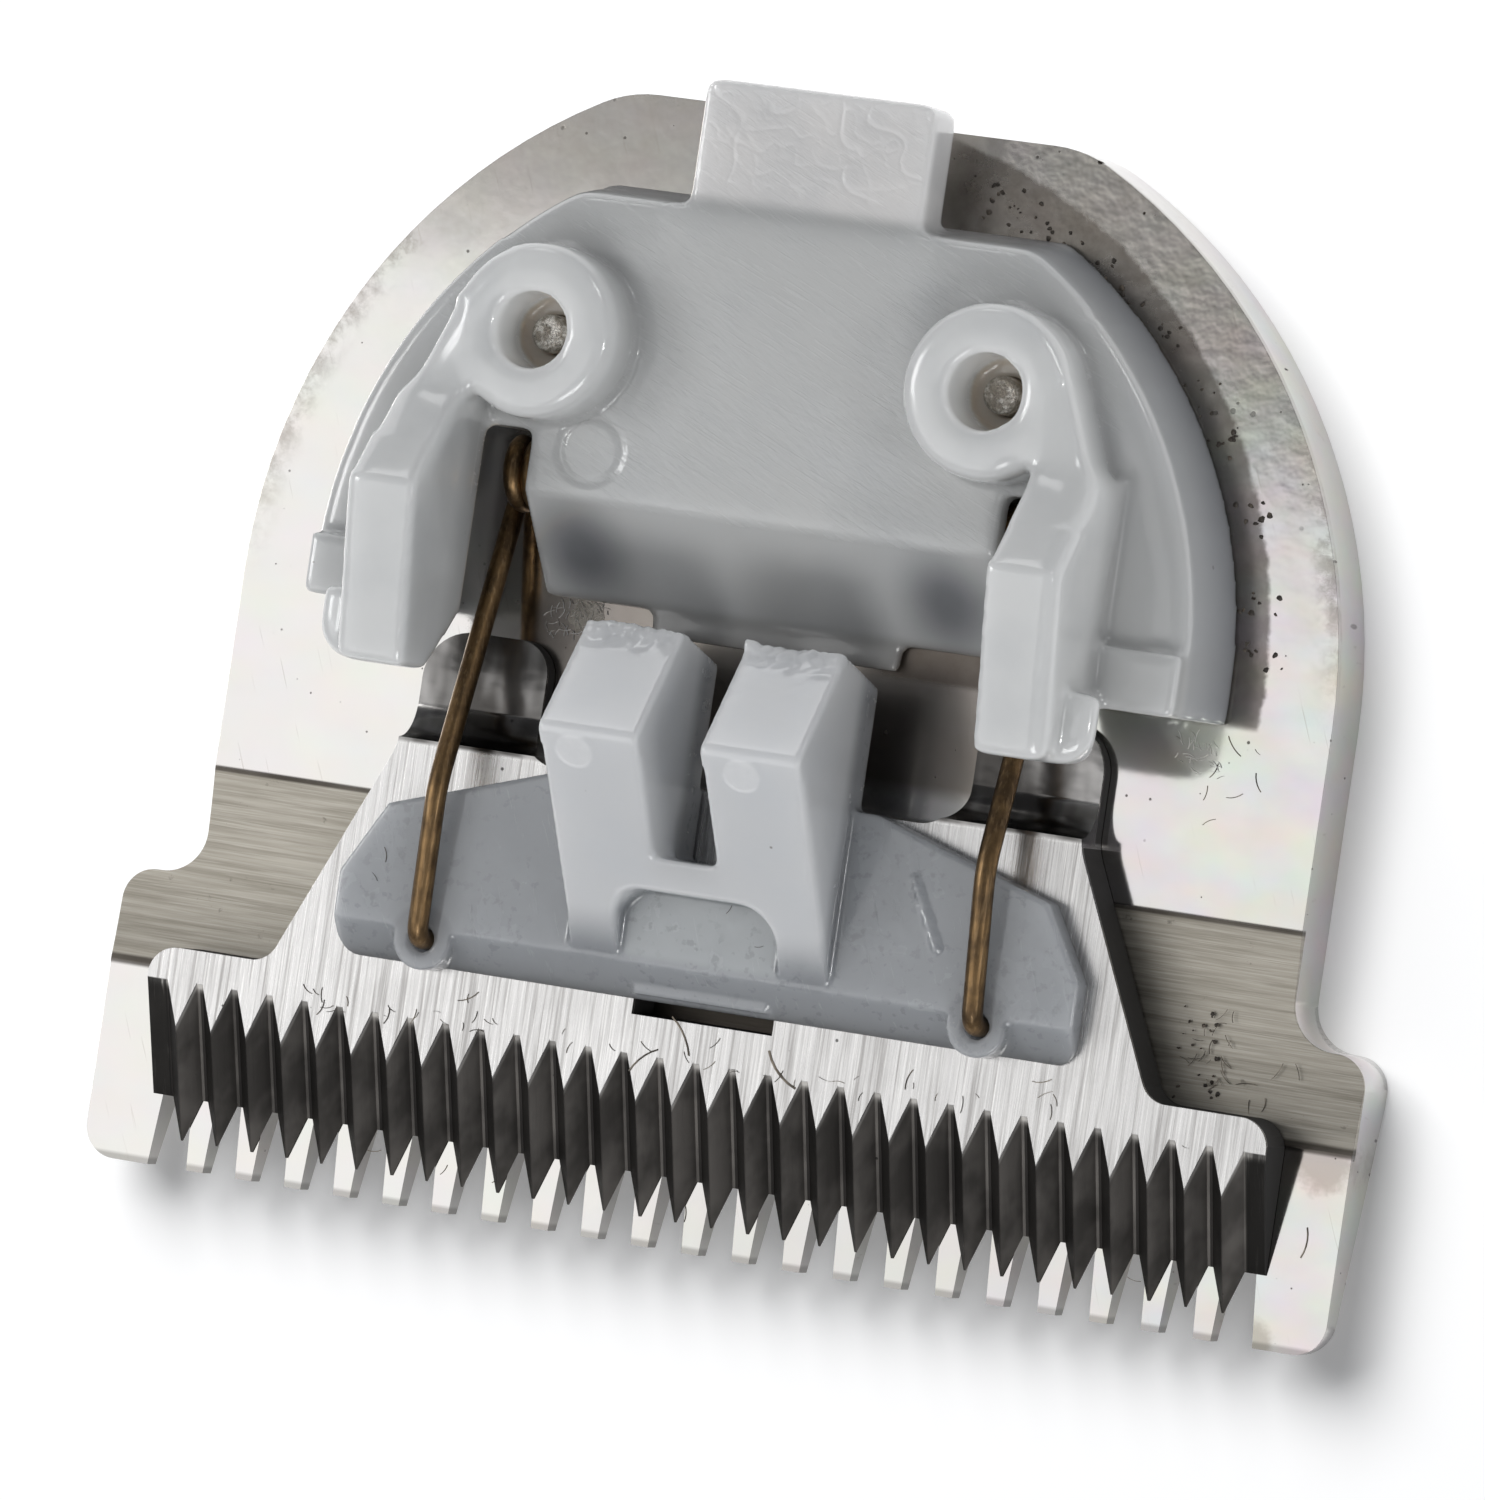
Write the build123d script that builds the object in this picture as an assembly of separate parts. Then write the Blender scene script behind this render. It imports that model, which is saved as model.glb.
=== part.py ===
from build123d import *
import math
import os

# Clip-in hair clipper blade set. Millimetres, +X across the teeth, +Y from the teeth to the
# latch tab, +Z up. Pieces are drawn with the comb's front edge at y = 0 and its underside at
# z = 0, and are moved so that the middle of the assembly's footprint is the origin.

# Comb blade: fixed lower plate
comb_width = 32.0
comb_depth = 27.3
comb_thickness = 2.0
comb_head_depth = 7.1
comb_body_width = 28.0
comb_arch_y = 14.55
comb_corner_round = 0.8
comb_rear_round = 3.0
shoulder_round_share = 0.4
shoulder_fillet_share = 0.55
comb_bevel_depth = 6.0
comb_edge_thickness = 0.5
channel_front_y = 4.8
channel_width = 5.0
channel_depth = 0.18

# Comb teeth
comb_tooth_pitch = 1.30
comb_end_margin = 2.9
comb_tooth_tip = 0.45
comb_tooth_root = 0.95
comb_gap_depth = 4.3
comb_end_tooth_tip = 1.75
comb_end_gap_root = 0.4

# Cutter blade: moving upper plate
cutter_clearance = 0.03
cutter_thickness = 1.4
cutter_side_margin = 1.65
cutter_shoulder_y = 5.35
cutter_neck_width = 22.6
cutter_waist_width = 17.5
cutter_waist_y = 11.0
cutter_head_round = 0.7
cutter_neck_fillet = 0.7
cutter_waist_round = 1.5
ear_width = 3.2
ear_length = 2.9
ear_outer_round = 1.2
ear_inner_round = 0.8
recess_round = 0.9
ear_grind_start = 0.2
ear_crease = 1.1
ear_thickness = 0.5
ear_grind_sag = 0.3

# Cutter teeth: V grooves ground down towards the front
groove_pitch = 0.926
groove_end_shelf = 0.4
groove_start_y = 4.6
groove_half_angle = 36.0
groove_slope = 26.0
groove_flat = 0.14
tooth_tip_land = 0.04

# Window of the cutter and the lug of the fork that sits in it
window_width = 3.6
window_front_y = 5.5
window_depth = 1.6
window_lug_setback = 0.5
window_clearance = 0.05
lug_end_gap = 0.2

# Drive fork: base plate
fork_plate_thickness = 0.8
fork_plate_width = 18.9
fork_front_y = 5.8
fork_front_slope = 0.94
fork_end_y = 7.85
fork_shoulder_width = 16.9
fork_shoulder_y = 9.6
fork_rear_width = 7.8
fork_rear_y = 11.05
fork_corner_round = 0.6

# Drive fork: prongs, profile sizes measured from the top of the base plate
prong_outer_width = 6.6
drive_slot_width = 1.6
prong_front_y = 6.85
prong_ridge_y = 12.0
prong_ridge_height = 4.15
prong_end_y = 14.65
prong_end_height = 1.95
prong_heel_y = 14.0
prong_heel_drop = 0.6
prong_ridge_round = 0.25
arch_pocket_width = 4.1
arch_pocket_rear_y = 8.5
arch_pocket_round = 0.8
web_length = 0.8

# Spring frame: moulded shell on the comb, heights measured from the comb's top face
frame_width = 22.9
frame_arch_y = 15.2
frame_front_y = 14.3
frame_rear_y = 25.05
frame_height = 2.7
frame_draft = 8.0
frame_wall = 1.0
frame_rim_wall = 2.0
frame_top_round = 0.3
frame_roof = 0.7
bay_width = 14.4
bay_rear_y = 18.9
leg_pocket_width = 16.8
leg_pocket_height = 2.45

# Spring frame: sloped front wall between the two spring slots
wall_width = 12.0
wall_top_y = 17.5
wall_foot_y = 15.05
wall_foot_height = 0.3
wall_thickness = 0.45
lip_width = 6.4
lip_length = 0.6
lip_height = 0.35

# Spring frame: legs, side lugs, bosses and latch tab
leg_width = 1.8
leg_front_y = 12.86
leg_front_top = 5.65
leg_peak = 6.5
leg_peak_y = 17.2
leg_ramp_end_y = 19.6
leg_edge_round = 0.35
leg_web_angle = 20.0
leg_web_lap = 0.3
nose_width = 2.65
nose_length = 1.7
nose_underside = 4.1
nose_run = 1.5
nose_top = 4.9
nose_corner_round = 0.9
nose_edge_round = 0.3
nose_undercut = 1.0
side_lug_length = 1.45
side_lug_height = 3.1
boss_spacing = 11.5
boss_y = 21.2
boss_radius = 2.1
boss_height = 4.4
boss_top_round = 0.45
boss_hole_radius = 0.92
boss_hole_depth = 1.8
tab_width = 5.9
tab_end_y = 27.75
tab_top = 2.5
tab_thickness = 1.5
tab_round = 0.4

# Frame screws
screw_radius = 0.75
screw_head_radius = 1.5
screw_head_recess = 0.05
screw_fit = 0.03
screw_hole_clearance = 0.12
screw_engagement = 1.7
screw_tip_radius = 0.46
screw_tip_show = 0.5
screw_drive_width = 0.4
screw_drive_length = 1.7
screw_drive_depth = 0.4

# Torsion spring
wire_radius = 0.25
coil_radius = 0.68
coil_turns = 5
coil_turn_overlap = 0.02
coil_axis_y = 17.85
coil_lift = 0.05
coil_outer_x = 6.95
arm_bend_x = 7.0
arm_bend_y = 10.2
arm_bend_height = 2.85
arm_bend_round = 0.8
arm_tip_round = 0.35
arm_tip_gap = 0.05
socket_x = 7.1
socket_y = 6.5
socket_depth = 0.55
socket_clearance = 0.07
socket_pad_radius = 0.75
tip_end_gap = 0.1

# Heights and places that follow from the sizes above
overall_depth = tab_end_y
comb_top = comb_thickness
comb_tooth_count = 1 + int((comb_width - 2 * comb_end_margin) / comb_tooth_pitch)
cutter_head_width = comb_width - 2 * cutter_side_margin
last_groove = int((cutter_head_width / 2 - groove_end_shelf) / groove_pitch)
cutter_bottom = comb_top + cutter_clearance
cutter_top = cutter_bottom + cutter_thickness
fork_top = cutter_top + fork_plate_thickness
slot_half = bay_width / 2
leg_outer = slot_half + leg_width
ear_end_y = cutter_waist_y + ear_length
cut_margin = 1.0

SIDES = (-1, 1)
UPRIGHT = (Align.CENTER, Align.CENTER, Align.MIN)
HANGING = (Align.CENTER, Align.CENTER, Align.MAX)


def in_side_view(points):
    """Face in the YZ plane through the given (y, z) points."""
    return Plane.YZ * make_face(Polyline(*points, close=True))


def across(face, x_low, x_high):
    """Solid of a side-view face between two x values."""
    return Pos(x_low, 0, 0) * extrude(face, x_high - x_low, dir=(1, 0, 0))


def slab(x_low, x_high, y_low, y_high, z_low, z_high):
    """Box between two corners."""
    middle = Pos((x_low + x_high) / 2, (y_low + y_high) / 2, (z_low + z_high) / 2)
    return middle * Box(x_high - x_low, y_high - y_low, z_high - z_low)


def mirrored(points):
    """Closed outline from its right-hand half, given from front to rear."""
    return points + [(-x, y) for x, y in reversed(points)]


def round_at(face, places, radius):
    """Face with the vertices nearest to the given places rounded."""
    corners = [face.vertices().sort_by_distance(Vector(x, y))[0] for x, y in places]
    return fillet(corners, radius)


def both_sides(x, y):
    """A place and its mirror image."""
    return [(side * x, y) for side in SIDES]


def comb_gap(left_tip, right_tip, left_root, right_root):
    """Plan of one gap between two comb teeth, open at the front edge."""
    slope_left = (left_root - left_tip) / comb_gap_depth * cut_margin
    slope_right = (right_root - right_tip) / comb_gap_depth * cut_margin
    return make_face(Polyline(
        (left_tip - slope_left, -cut_margin),
        (right_tip - slope_right, -cut_margin),
        (right_root, comb_gap_depth),
        (left_root, comb_gap_depth),
        close=True,
    ))


def comb_gaps():
    """Plans of every gap of the comb's row of teeth."""
    first = -comb_tooth_pitch * (comb_tooth_count - 1) / 2
    centres = [first + comb_tooth_pitch * i for i in range(comb_tooth_count)]
    tip = comb_tooth_tip / 2
    root = comb_tooth_root / 2
    gaps = []
    for left, right in zip(centres, centres[1:]):
        gaps.append(comb_gap(left + tip, right - tip, left + root, right - root))
    end_tip = comb_width / 2 - comb_end_tooth_tip
    end_root = centres[-1] + root + comb_end_gap_root
    gaps.append(comb_gap(centres[-1] + tip, end_tip, centres[-1] + root, end_root))
    gaps.append(comb_gap(-end_tip, centres[0] - tip, -end_root, centres[0] - root))
    return gaps


def screw_passage():
    """Clearance hole and countersink of one screw through the comb."""
    straight = Cylinder(screw_radius + screw_hole_clearance, comb_thickness, align=UPRIGHT)
    sink = Cone(screw_head_radius, screw_radius, screw_head_radius - screw_radius, align=UPRIGHT)
    seat = Cylinder(screw_head_radius, screw_head_recess, align=UPRIGHT)
    return straight + seat + Pos(0, 0, screw_head_recess) * sink


def build_comb_blade():
    """Fixed T-headed plate with its teeth, ground channel and screw holes."""
    head = Pos(0, comb_head_depth / 2) * Rectangle(comb_width, comb_head_depth)
    body = Pos(0, comb_arch_y / 2) * Rectangle(comb_body_width, comb_arch_y)
    arch = Pos(0, comb_arch_y) * Circle(comb_body_width / 2)
    trim = Pos(0, comb_depth / 2) * Rectangle(comb_width, comb_depth)
    outline = head + ((body + arch) & trim)
    outline = round_at(outline, both_sides(comb_width / 2, 0), comb_corner_round)
    rear_corner_x = math.sqrt((comb_body_width / 2) ** 2 - (comb_depth - comb_arch_y) ** 2)
    outline = round_at(outline, both_sides(rear_corner_x, comb_depth), comb_rear_round)
    step = (comb_width - comb_body_width) / 2
    convex = step * shoulder_round_share
    concave = step * shoulder_fillet_share
    outline = round_at(outline, both_sides(comb_width / 2, comb_head_depth), convex)
    outline = round_at(outline, both_sides(comb_body_width / 2, comb_head_depth), concave)
    plate = extrude(outline, comb_thickness)

    bevel = in_side_view([
        (-cut_margin, -cut_margin),
        (comb_bevel_depth, -cut_margin),
        (comb_bevel_depth, 0),
        (0, comb_thickness - comb_edge_thickness),
        (-cut_margin, comb_thickness - comb_edge_thickness),
    ])
    plate -= across(bevel, -comb_width, comb_width)

    channel_radius = channel_width**2 / (8 * channel_depth) + channel_depth / 2
    channel_y = channel_front_y + channel_width / 2
    channel_z = comb_thickness - channel_depth + channel_radius
    channel = Plane.YZ * (Pos(channel_y, channel_z) * Circle(channel_radius))
    plate -= across(channel, -comb_width, comb_width)

    for gap in comb_gaps():
        plate -= extrude(gap, comb_thickness)
    for side in SIDES:
        plate -= Pos(side * boss_spacing / 2, boss_y, 0) * screw_passage()
    return plate


def groove(x):
    """One V groove, its floor falling from the cutter's top face towards the front."""
    depth = 2 * cutter_thickness
    spread = groove_flat / 2 + depth * math.tan(math.radians(groove_half_angle))
    section = make_face(Polyline(
        (x - groove_flat / 2, 0),
        (x + groove_flat / 2, 0),
        (x + spread, depth),
        (x - spread, depth),
        close=True,
    ))
    section = Pos(0, groove_start_y, cutter_top) * (Plane.XZ * section)
    slope = math.radians(groove_slope)
    run = (groove_start_y + cut_margin) / math.cos(slope)
    return extrude(section, run, dir=(0, -math.cos(slope), -math.sin(slope)))


def tooth_front_y():
    """Front of the cutter's teeth, where the ridges between grooves leave a narrow land."""
    ridge_rise = (groove_pitch - groove_flat) / 2 / math.tan(math.radians(groove_half_angle))
    fall = cutter_thickness + ridge_rise - tooth_tip_land
    return groove_start_y - fall / math.tan(math.radians(groove_slope))


def build_cutter_blade():
    """Moving blade: V-ground teeth, waisted body, two thin ears and the window."""
    half_head = cutter_head_width / 2
    half_neck = cutter_neck_width / 2
    half_waist = cutter_waist_width / 2
    inner = half_waist - ear_width
    front = tooth_front_y()
    outline = make_face(Polyline(*mirrored([
        (half_head, front),
        (half_head, cutter_shoulder_y),
        (half_neck, cutter_shoulder_y),
        (half_waist, cutter_waist_y),
        (half_waist, ear_end_y),
        (inner, ear_end_y),
        (inner, cutter_waist_y),
    ]), close=True))
    outline = round_at(outline, both_sides(half_head, cutter_shoulder_y), cutter_head_round)
    outline = round_at(outline, both_sides(half_neck, cutter_shoulder_y), cutter_neck_fillet)
    outline = round_at(outline, both_sides(half_waist, cutter_waist_y), cutter_waist_round)
    outline = round_at(outline, both_sides(half_waist, ear_end_y), ear_outer_round)
    outline = round_at(outline, both_sides(inner, ear_end_y), ear_inner_round)
    outline = round_at(outline, both_sides(inner, cutter_waist_y), recess_round)
    blade = Pos(0, 0, cutter_bottom) * extrude(outline, cutter_thickness)

    grind_y = cutter_waist_y + ear_grind_start
    crease_y = cutter_waist_y + ear_crease
    ear_top = cutter_bottom + ear_thickness
    middle = (
        grind_y + (crease_y - grind_y) * ear_grind_sag,
        cutter_top - (cutter_top - ear_top) * (1 - ear_grind_sag),
    )
    grind = Plane.YZ * make_face(
        ThreePointArc((grind_y, cutter_top), middle, (crease_y, ear_top))
        + Polyline(
            (crease_y, ear_top),
            (ear_end_y + cut_margin, ear_top),
            (ear_end_y + cut_margin, cutter_top + cut_margin),
            (grind_y, cutter_top + cut_margin),
            (grind_y, cutter_top),
        )
    )
    blade -= across(grind, -half_head, half_head)

    for i in range(-last_groove, last_groove + 1):
        blade -= groove(groove_pitch * i)
    floor_front = front - cut_margin
    floor_fall = (groove_start_y - floor_front) * math.tan(math.radians(groove_slope))
    end_shelf = in_side_view([
        (groove_start_y, cutter_top),
        (groove_start_y, cutter_top + cut_margin),
        (floor_front, cutter_top + cut_margin),
        (floor_front, cutter_top - floor_fall),
    ])
    blade -= across(end_shelf, groove_pitch * last_groove, half_head + cut_margin)
    blade -= across(end_shelf, -half_head - cut_margin, -groove_pitch * last_groove)

    window_rear = window_front_y + window_depth
    blade -= slab(
        -window_width / 2, window_width / 2, window_front_y, window_rear,
        cutter_bottom - cut_margin, cutter_top + cut_margin,
    )
    return blade


def build_fork_plate():
    """Base plate of the fork with its sloped front edge, socket pads and window lug."""
    outline = make_face(Polyline(*mirrored([
        (fork_plate_width / 2, fork_front_y),
        (fork_plate_width / 2, fork_end_y),
        (fork_shoulder_width / 2, fork_shoulder_y),
        (fork_rear_width / 2, fork_rear_y),
    ]), close=True))
    outline = round_at(outline, both_sides(fork_plate_width / 2, fork_front_y), fork_corner_round)
    plate = Pos(0, 0, cutter_top) * extrude(outline, fork_plate_thickness)
    front_slope = in_side_view([
        (fork_front_y, cutter_top),
        (fork_front_y + fork_front_slope, fork_top),
        (fork_front_y + fork_front_slope, fork_top + cut_margin),
        (fork_front_y - cut_margin, fork_top + cut_margin),
        (fork_front_y - cut_margin, cutter_top),
    ])
    plate -= across(front_slope, -fork_plate_width, fork_plate_width)
    for side in SIDES:
        pad = Cylinder(socket_pad_radius, fork_plate_thickness, align=UPRIGHT)
        plate += Pos(side * socket_x, socket_y, cutter_top) * pad
    lug_half = window_width / 2 - window_clearance
    plate += slab(
        -lug_half, lug_half,
        window_front_y + window_lug_setback, window_front_y + window_depth - window_clearance,
        cutter_bottom + lug_end_gap, cutter_top + fork_plate_thickness / 2,
    )
    return plate


def build_prongs():
    """Two leaning prongs joined by a web, cut by the drive slot and the arched front pocket."""
    profile = in_side_view([
        (prong_front_y, fork_top),
        (prong_ridge_y, fork_top + prong_ridge_height),
        (prong_end_y, fork_top + prong_end_height),
        (prong_heel_y, fork_top - prong_heel_drop),
        (prong_front_y, fork_top - prong_heel_drop),
    ])
    ridge = profile.vertices().sort_by(Axis.Z)[-1]
    profile = fillet(ridge, prong_ridge_round)
    prongs = across(profile, -prong_outer_width / 2, prong_outer_width / 2)

    pocket = Pos(0, arch_pocket_rear_y / 2) * Rectangle(arch_pocket_width, arch_pocket_rear_y)
    pocket = round_at(pocket, both_sides(arch_pocket_width / 2, arch_pocket_rear_y), arch_pocket_round)
    return prongs - Pos(0, 0, fork_top) * extrude(pocket, prong_ridge_height)


def build_drive_fork():
    """Plastic driver: base plate, prongs, drive slot and the two spring sockets."""
    fork = build_fork_plate() + build_prongs()
    fork -= slab(
        -drive_slot_width / 2, drive_slot_width / 2,
        arch_pocket_rear_y + web_length, prong_end_y + cut_margin,
        cutter_top - cut_margin, fork_top + prong_ridge_height + cut_margin,
    )
    for side in SIDES:
        socket = Cylinder(wire_radius + socket_clearance, socket_depth, align=HANGING)
        fork -= Pos(side * socket_x, socket_y, fork_top) * socket
    return fork


def frame_outline(inset):
    """Arched plan of the spring frame, drawn in by an inset, running on past its front."""
    half = frame_width / 2 - inset
    rear = frame_rear_y - inset
    sides = Pos(0, frame_arch_y / 2) * Rectangle(2 * half, frame_arch_y)
    arch = Pos(0, frame_arch_y) * Circle(half)
    return (sides + arch) & Pos(0, rear / 2) * Rectangle(2 * half, rear)


def build_drafted_block():
    """Solid arched block of the frame, narrower at the top by its draft, running on past its front."""
    half = frame_width / 2
    lean = frame_height * math.tan(math.radians(frame_draft))
    arch = Cone(half, half - lean, frame_height, align=UPRIGHT)
    section = Plane.XZ * make_face(Polyline(
        (-half, 0),
        (half, 0),
        (half - lean, frame_height),
        (lean - half, frame_height),
        close=True,
    ))
    sides = extrude(section, frame_arch_y, dir=(0, -1, 0))
    beyond_rear = in_side_view([
        (frame_rear_y, 0),
        (frame_rear_y - lean, frame_height),
        (frame_rear_y + half, frame_height),
        (frame_rear_y + half, 0),
    ])
    block = Pos(0, frame_arch_y, 0) * (arch + sides) - across(beyond_rear, -half, half)
    rim = block.faces().sort_by(Axis.Z)[-1].edges()
    return fillet(rim, frame_top_round)


def build_frame_shell():
    """Arched shell, open below, with the bay for the fork cut out of its front."""
    shell = build_drafted_block()
    shell -= slab(-frame_width, frame_width, -cut_margin, frame_front_y, -cut_margin, 2 * frame_height)
    hollow = frame_outline(frame_rim_wall) & (
        Pos(0, (bay_rear_y + frame_wall + frame_rear_y) / 2)
        * Rectangle(frame_width, frame_rear_y - bay_rear_y - frame_wall)
    )
    shell -= extrude(hollow, frame_height - frame_roof)
    shell -= slab(-slot_half, slot_half, 0, bay_rear_y, -cut_margin, 2 * frame_height)
    pocket_half = leg_pocket_width / 2
    shell -= slab(-pocket_half, pocket_half, 0, bay_rear_y, -cut_margin, leg_pocket_height)
    return shell


def build_front_wall():
    """Sloped wall in front of the coils, with the lip at its foot."""
    slope = math.atan2(frame_height - wall_foot_height, wall_top_y - wall_foot_y)
    inward = wall_thickness / math.sin(slope)
    roof_under = frame_height - frame_roof
    inner_top_y = wall_foot_y + inward + (roof_under - wall_foot_height) / math.tan(slope)
    wall = across(in_side_view([
        (bay_rear_y + frame_wall, frame_height),
        (wall_top_y, frame_height),
        (wall_foot_y, wall_foot_height),
        (wall_foot_y, 0),
        (wall_foot_y + inward, 0),
        (wall_foot_y + inward, wall_foot_height),
        (inner_top_y, roof_under),
        (bay_rear_y + frame_wall, roof_under),
    ]), -wall_width / 2, wall_width / 2)
    wall += slab(
        -lip_width / 2, lip_width / 2, wall_foot_y - lip_length, wall_foot_y + inward / 2, 0, lip_height
    )
    return wall


def build_nose():
    """Wide rounded nose at the front of the right-hand leg, undercut towards the front."""
    profile = in_side_view([
        (leg_front_y, nose_underside),
        (leg_front_y, nose_top),
        (leg_front_y + nose_length, nose_top),
        (leg_front_y + nose_length, leg_pocket_height),
        (leg_front_y + nose_run, leg_pocket_height),
    ])
    nose = across(profile, slot_half, slot_half + nose_width)
    outer_corner = (slot_half + nose_width, leg_front_y, nose_top)
    upright_edges = nose.edges().filter_by(Axis.Z)
    nose = fillet(upright_edges.sort_by_distance(outer_corner)[0], nose_corner_round)
    rim = nose.faces().sort_by(Axis.Z)[-1].edges()
    rim -= rim.filter_by_position(Axis.X, slot_half, slot_half)
    nose = fillet(rim.filter_by_position(Axis.Y, leg_front_y, leg_front_y + nose_run), nose_edge_round)
    outer = slot_half + nose_width
    undercut = Plane.XZ * make_face(Polyline(
        (outer - nose_undercut, leg_pocket_height),
        (outer, nose_top - nose_edge_round),
        (outer + cut_margin, nose_top - nose_edge_round),
        (outer + cut_margin, leg_pocket_height),
        close=True,
    ))
    return nose - extrude(undercut, leg_front_y + nose_length + cut_margin, dir=(0, 1, 0))


def build_leg(side):
    """Raised leg with its ramp and nose, the web to its boss, and the side lug."""
    profile = in_side_view([
        (leg_front_y, nose_underside),
        (leg_front_y, leg_front_top),
        (leg_peak_y, leg_peak),
        (leg_ramp_end_y, boss_height),
        (leg_ramp_end_y, leg_pocket_height),
        (leg_front_y + nose_run, leg_pocket_height),
    ])
    leg = across(profile, slot_half, leg_outer)
    outer_edges = leg.edges().filter_by_position(Axis.X, leg_outer, leg_outer)
    leg = fillet(outer_edges.filter_by_position(Axis.Z, boss_height, leg_peak), leg_edge_round)
    leg += build_nose()
    boss_x = boss_spacing / 2
    tangent = math.radians(leg_web_angle)
    web = make_face(Polyline(
        (slot_half, leg_ramp_end_y - leg_web_lap),
        (leg_outer - leg_edge_round, leg_ramp_end_y - leg_web_lap),
        (leg_outer - leg_edge_round, leg_ramp_end_y),
        (boss_x + boss_radius * math.cos(tangent), boss_y + boss_radius * math.sin(tangent)),
        (boss_x, boss_y),
        (slot_half, leg_ramp_end_y),
        close=True,
    ))
    leg += Pos(0, 0, leg_pocket_height) * extrude(web, boss_height - leg_pocket_height)
    lug_outer = frame_width / 2 - frame_height * math.tan(math.radians(frame_draft))
    leg += slab(
        leg_outer - leg_width / 2, lug_outer,
        frame_front_y, frame_front_y + side_lug_length,
        leg_pocket_height, side_lug_height,
    )
    return leg if side > 0 else mirror(leg, Plane.YZ)


def build_spring_frame():
    """Moulded holder: shell, front wall, legs, bosses and latch tab in one piece."""
    frame = build_frame_shell() + build_front_wall()
    for side in SIDES:
        frame += build_leg(side)
    for side in SIDES:
        boss = Cylinder(boss_radius, boss_height, align=UPRIGHT)
        boss = fillet(boss.edges().sort_by(Axis.Z)[-1], boss_top_round)
        frame += Pos(side * boss_spacing / 2, boss_y, 0) * boss
    tab = slab(
        -tab_width / 2, tab_width / 2, frame_rear_y - frame_wall, tab_end_y,
        tab_top - tab_thickness, tab_top,
    )
    tab_corners = tab.edges().filter_by(Axis.Z).sort_by(Axis.Y)[-2:]
    frame += fillet(tab_corners, tab_round)
    for side in SIDES:
        place = Pos(side * boss_spacing / 2, boss_y, 0)
        hole = Cylinder(boss_hole_radius, boss_hole_depth, align=HANGING)
        pilot = Cylinder(screw_radius + screw_fit, screw_engagement + screw_fit, align=UPRIGHT)
        tip = Cylinder(screw_tip_radius + screw_fit, boss_height, align=UPRIGHT)
        frame -= place * (Pos(0, 0, boss_height) * hole + pilot + tip)
    return Pos(0, 0, comb_top) * frame


def build_frame_screw(side):
    """Countersunk screw from the underside, its tip just showing in the boss hole."""
    cone_depth = screw_head_radius - screw_radius
    shank_length = comb_thickness - screw_head_recess + screw_engagement
    tip_length = boss_height - boss_hole_depth + screw_tip_show - screw_engagement
    head = Cone(screw_head_radius, screw_radius, cone_depth, align=UPRIGHT)
    shank = Cylinder(screw_radius, shank_length, align=UPRIGHT)
    tip = Pos(0, 0, shank_length) * Cylinder(screw_tip_radius, tip_length, align=UPRIGHT)
    screw = head + shank + tip
    for turn in (0, 90):
        screw -= Rot(0, 0, turn) * Box(screw_drive_length, screw_drive_width, 2 * screw_drive_depth)
    return Pos(side * boss_spacing / 2, boss_y, screw_head_recess) * screw


def build_spring_half():
    """Coil and arm of the right-hand side, the coil drawn as close turns about a line along X."""
    axis_z = comb_top + coil_lift + coil_radius + wire_radius
    turn_pitch = 2 * wire_radius - coil_turn_overlap
    turns = Sketch()
    for i in range(coil_turns):
        turns += Pos(coil_outer_x - turn_pitch * i, coil_axis_y + coil_radius) * Circle(wire_radius)
    coil = Pos(0, 0, axis_z) * revolve(turns, Axis((0, coil_axis_y, 0), (1, 0, 0)))

    bend = Vector(arm_bend_x, arm_bend_y, comb_top + arm_bend_height)
    reach = math.hypot(coil_axis_y - arm_bend_y, bend.Z - axis_z)
    rise = math.atan2(bend.Z - axis_z, coil_axis_y - arm_bend_y) + math.asin(coil_radius / reach)
    leave = Vector(
        coil_outer_x,
        coil_axis_y - coil_radius * math.sin(rise),
        axis_z - coil_radius * math.cos(rise),
    )
    over_socket = Vector(socket_x, socket_y, fork_top + wire_radius + arm_tip_gap)
    seat = Vector(socket_x, socket_y, fork_top - socket_depth + tip_end_gap)
    path = FilletPolyline(leave, bend, over_socket, seat, radius=[arm_bend_round, arm_tip_round])
    section = Plane(origin=leave, z_dir=path % 0) * Circle(wire_radius)
    return coil + sweep(section, path)


def build_torsion_spring():
    """One wire: two coils, the bar between them and two arms."""
    axis_z = comb_top + coil_lift + coil_radius + wire_radius
    half = build_spring_half()
    turn_pitch = 2 * wire_radius - coil_turn_overlap
    bar_end = coil_outer_x - turn_pitch * (coil_turns - 1)
    bar = Plane.YZ * (Pos(coil_axis_y + coil_radius, axis_z) * Circle(wire_radius))
    return half + across(bar, -bar_end, bar_end) + mirror(half, Plane.YZ)


nodes = {
    "comb_blade": build_comb_blade(),
    "cutter_blade": build_cutter_blade(),
    "drive_fork": build_drive_fork(),
    "spring_frame": build_spring_frame(),
    "torsion_spring": build_torsion_spring(),
    "frame_screw_left": build_frame_screw(-1),
    "frame_screw_right": build_frame_screw(1),
}

os.makedirs("parts", exist_ok=True)
for name, solid in nodes.items():
    export_step(Pos(0, -overall_depth / 2, 0) * solid, f"parts/{name}.step")
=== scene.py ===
"""Hair clipper blade: comb, sliding cutter with its drive fork, spring frame and spring."""

import logging
import math
import random
from contextlib import contextmanager
from dataclasses import dataclass
from enum import Enum
from typing import Callable, Iterator, Sequence, Union

import bpy
from mathutils import Matrix, Vector, noise


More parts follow.
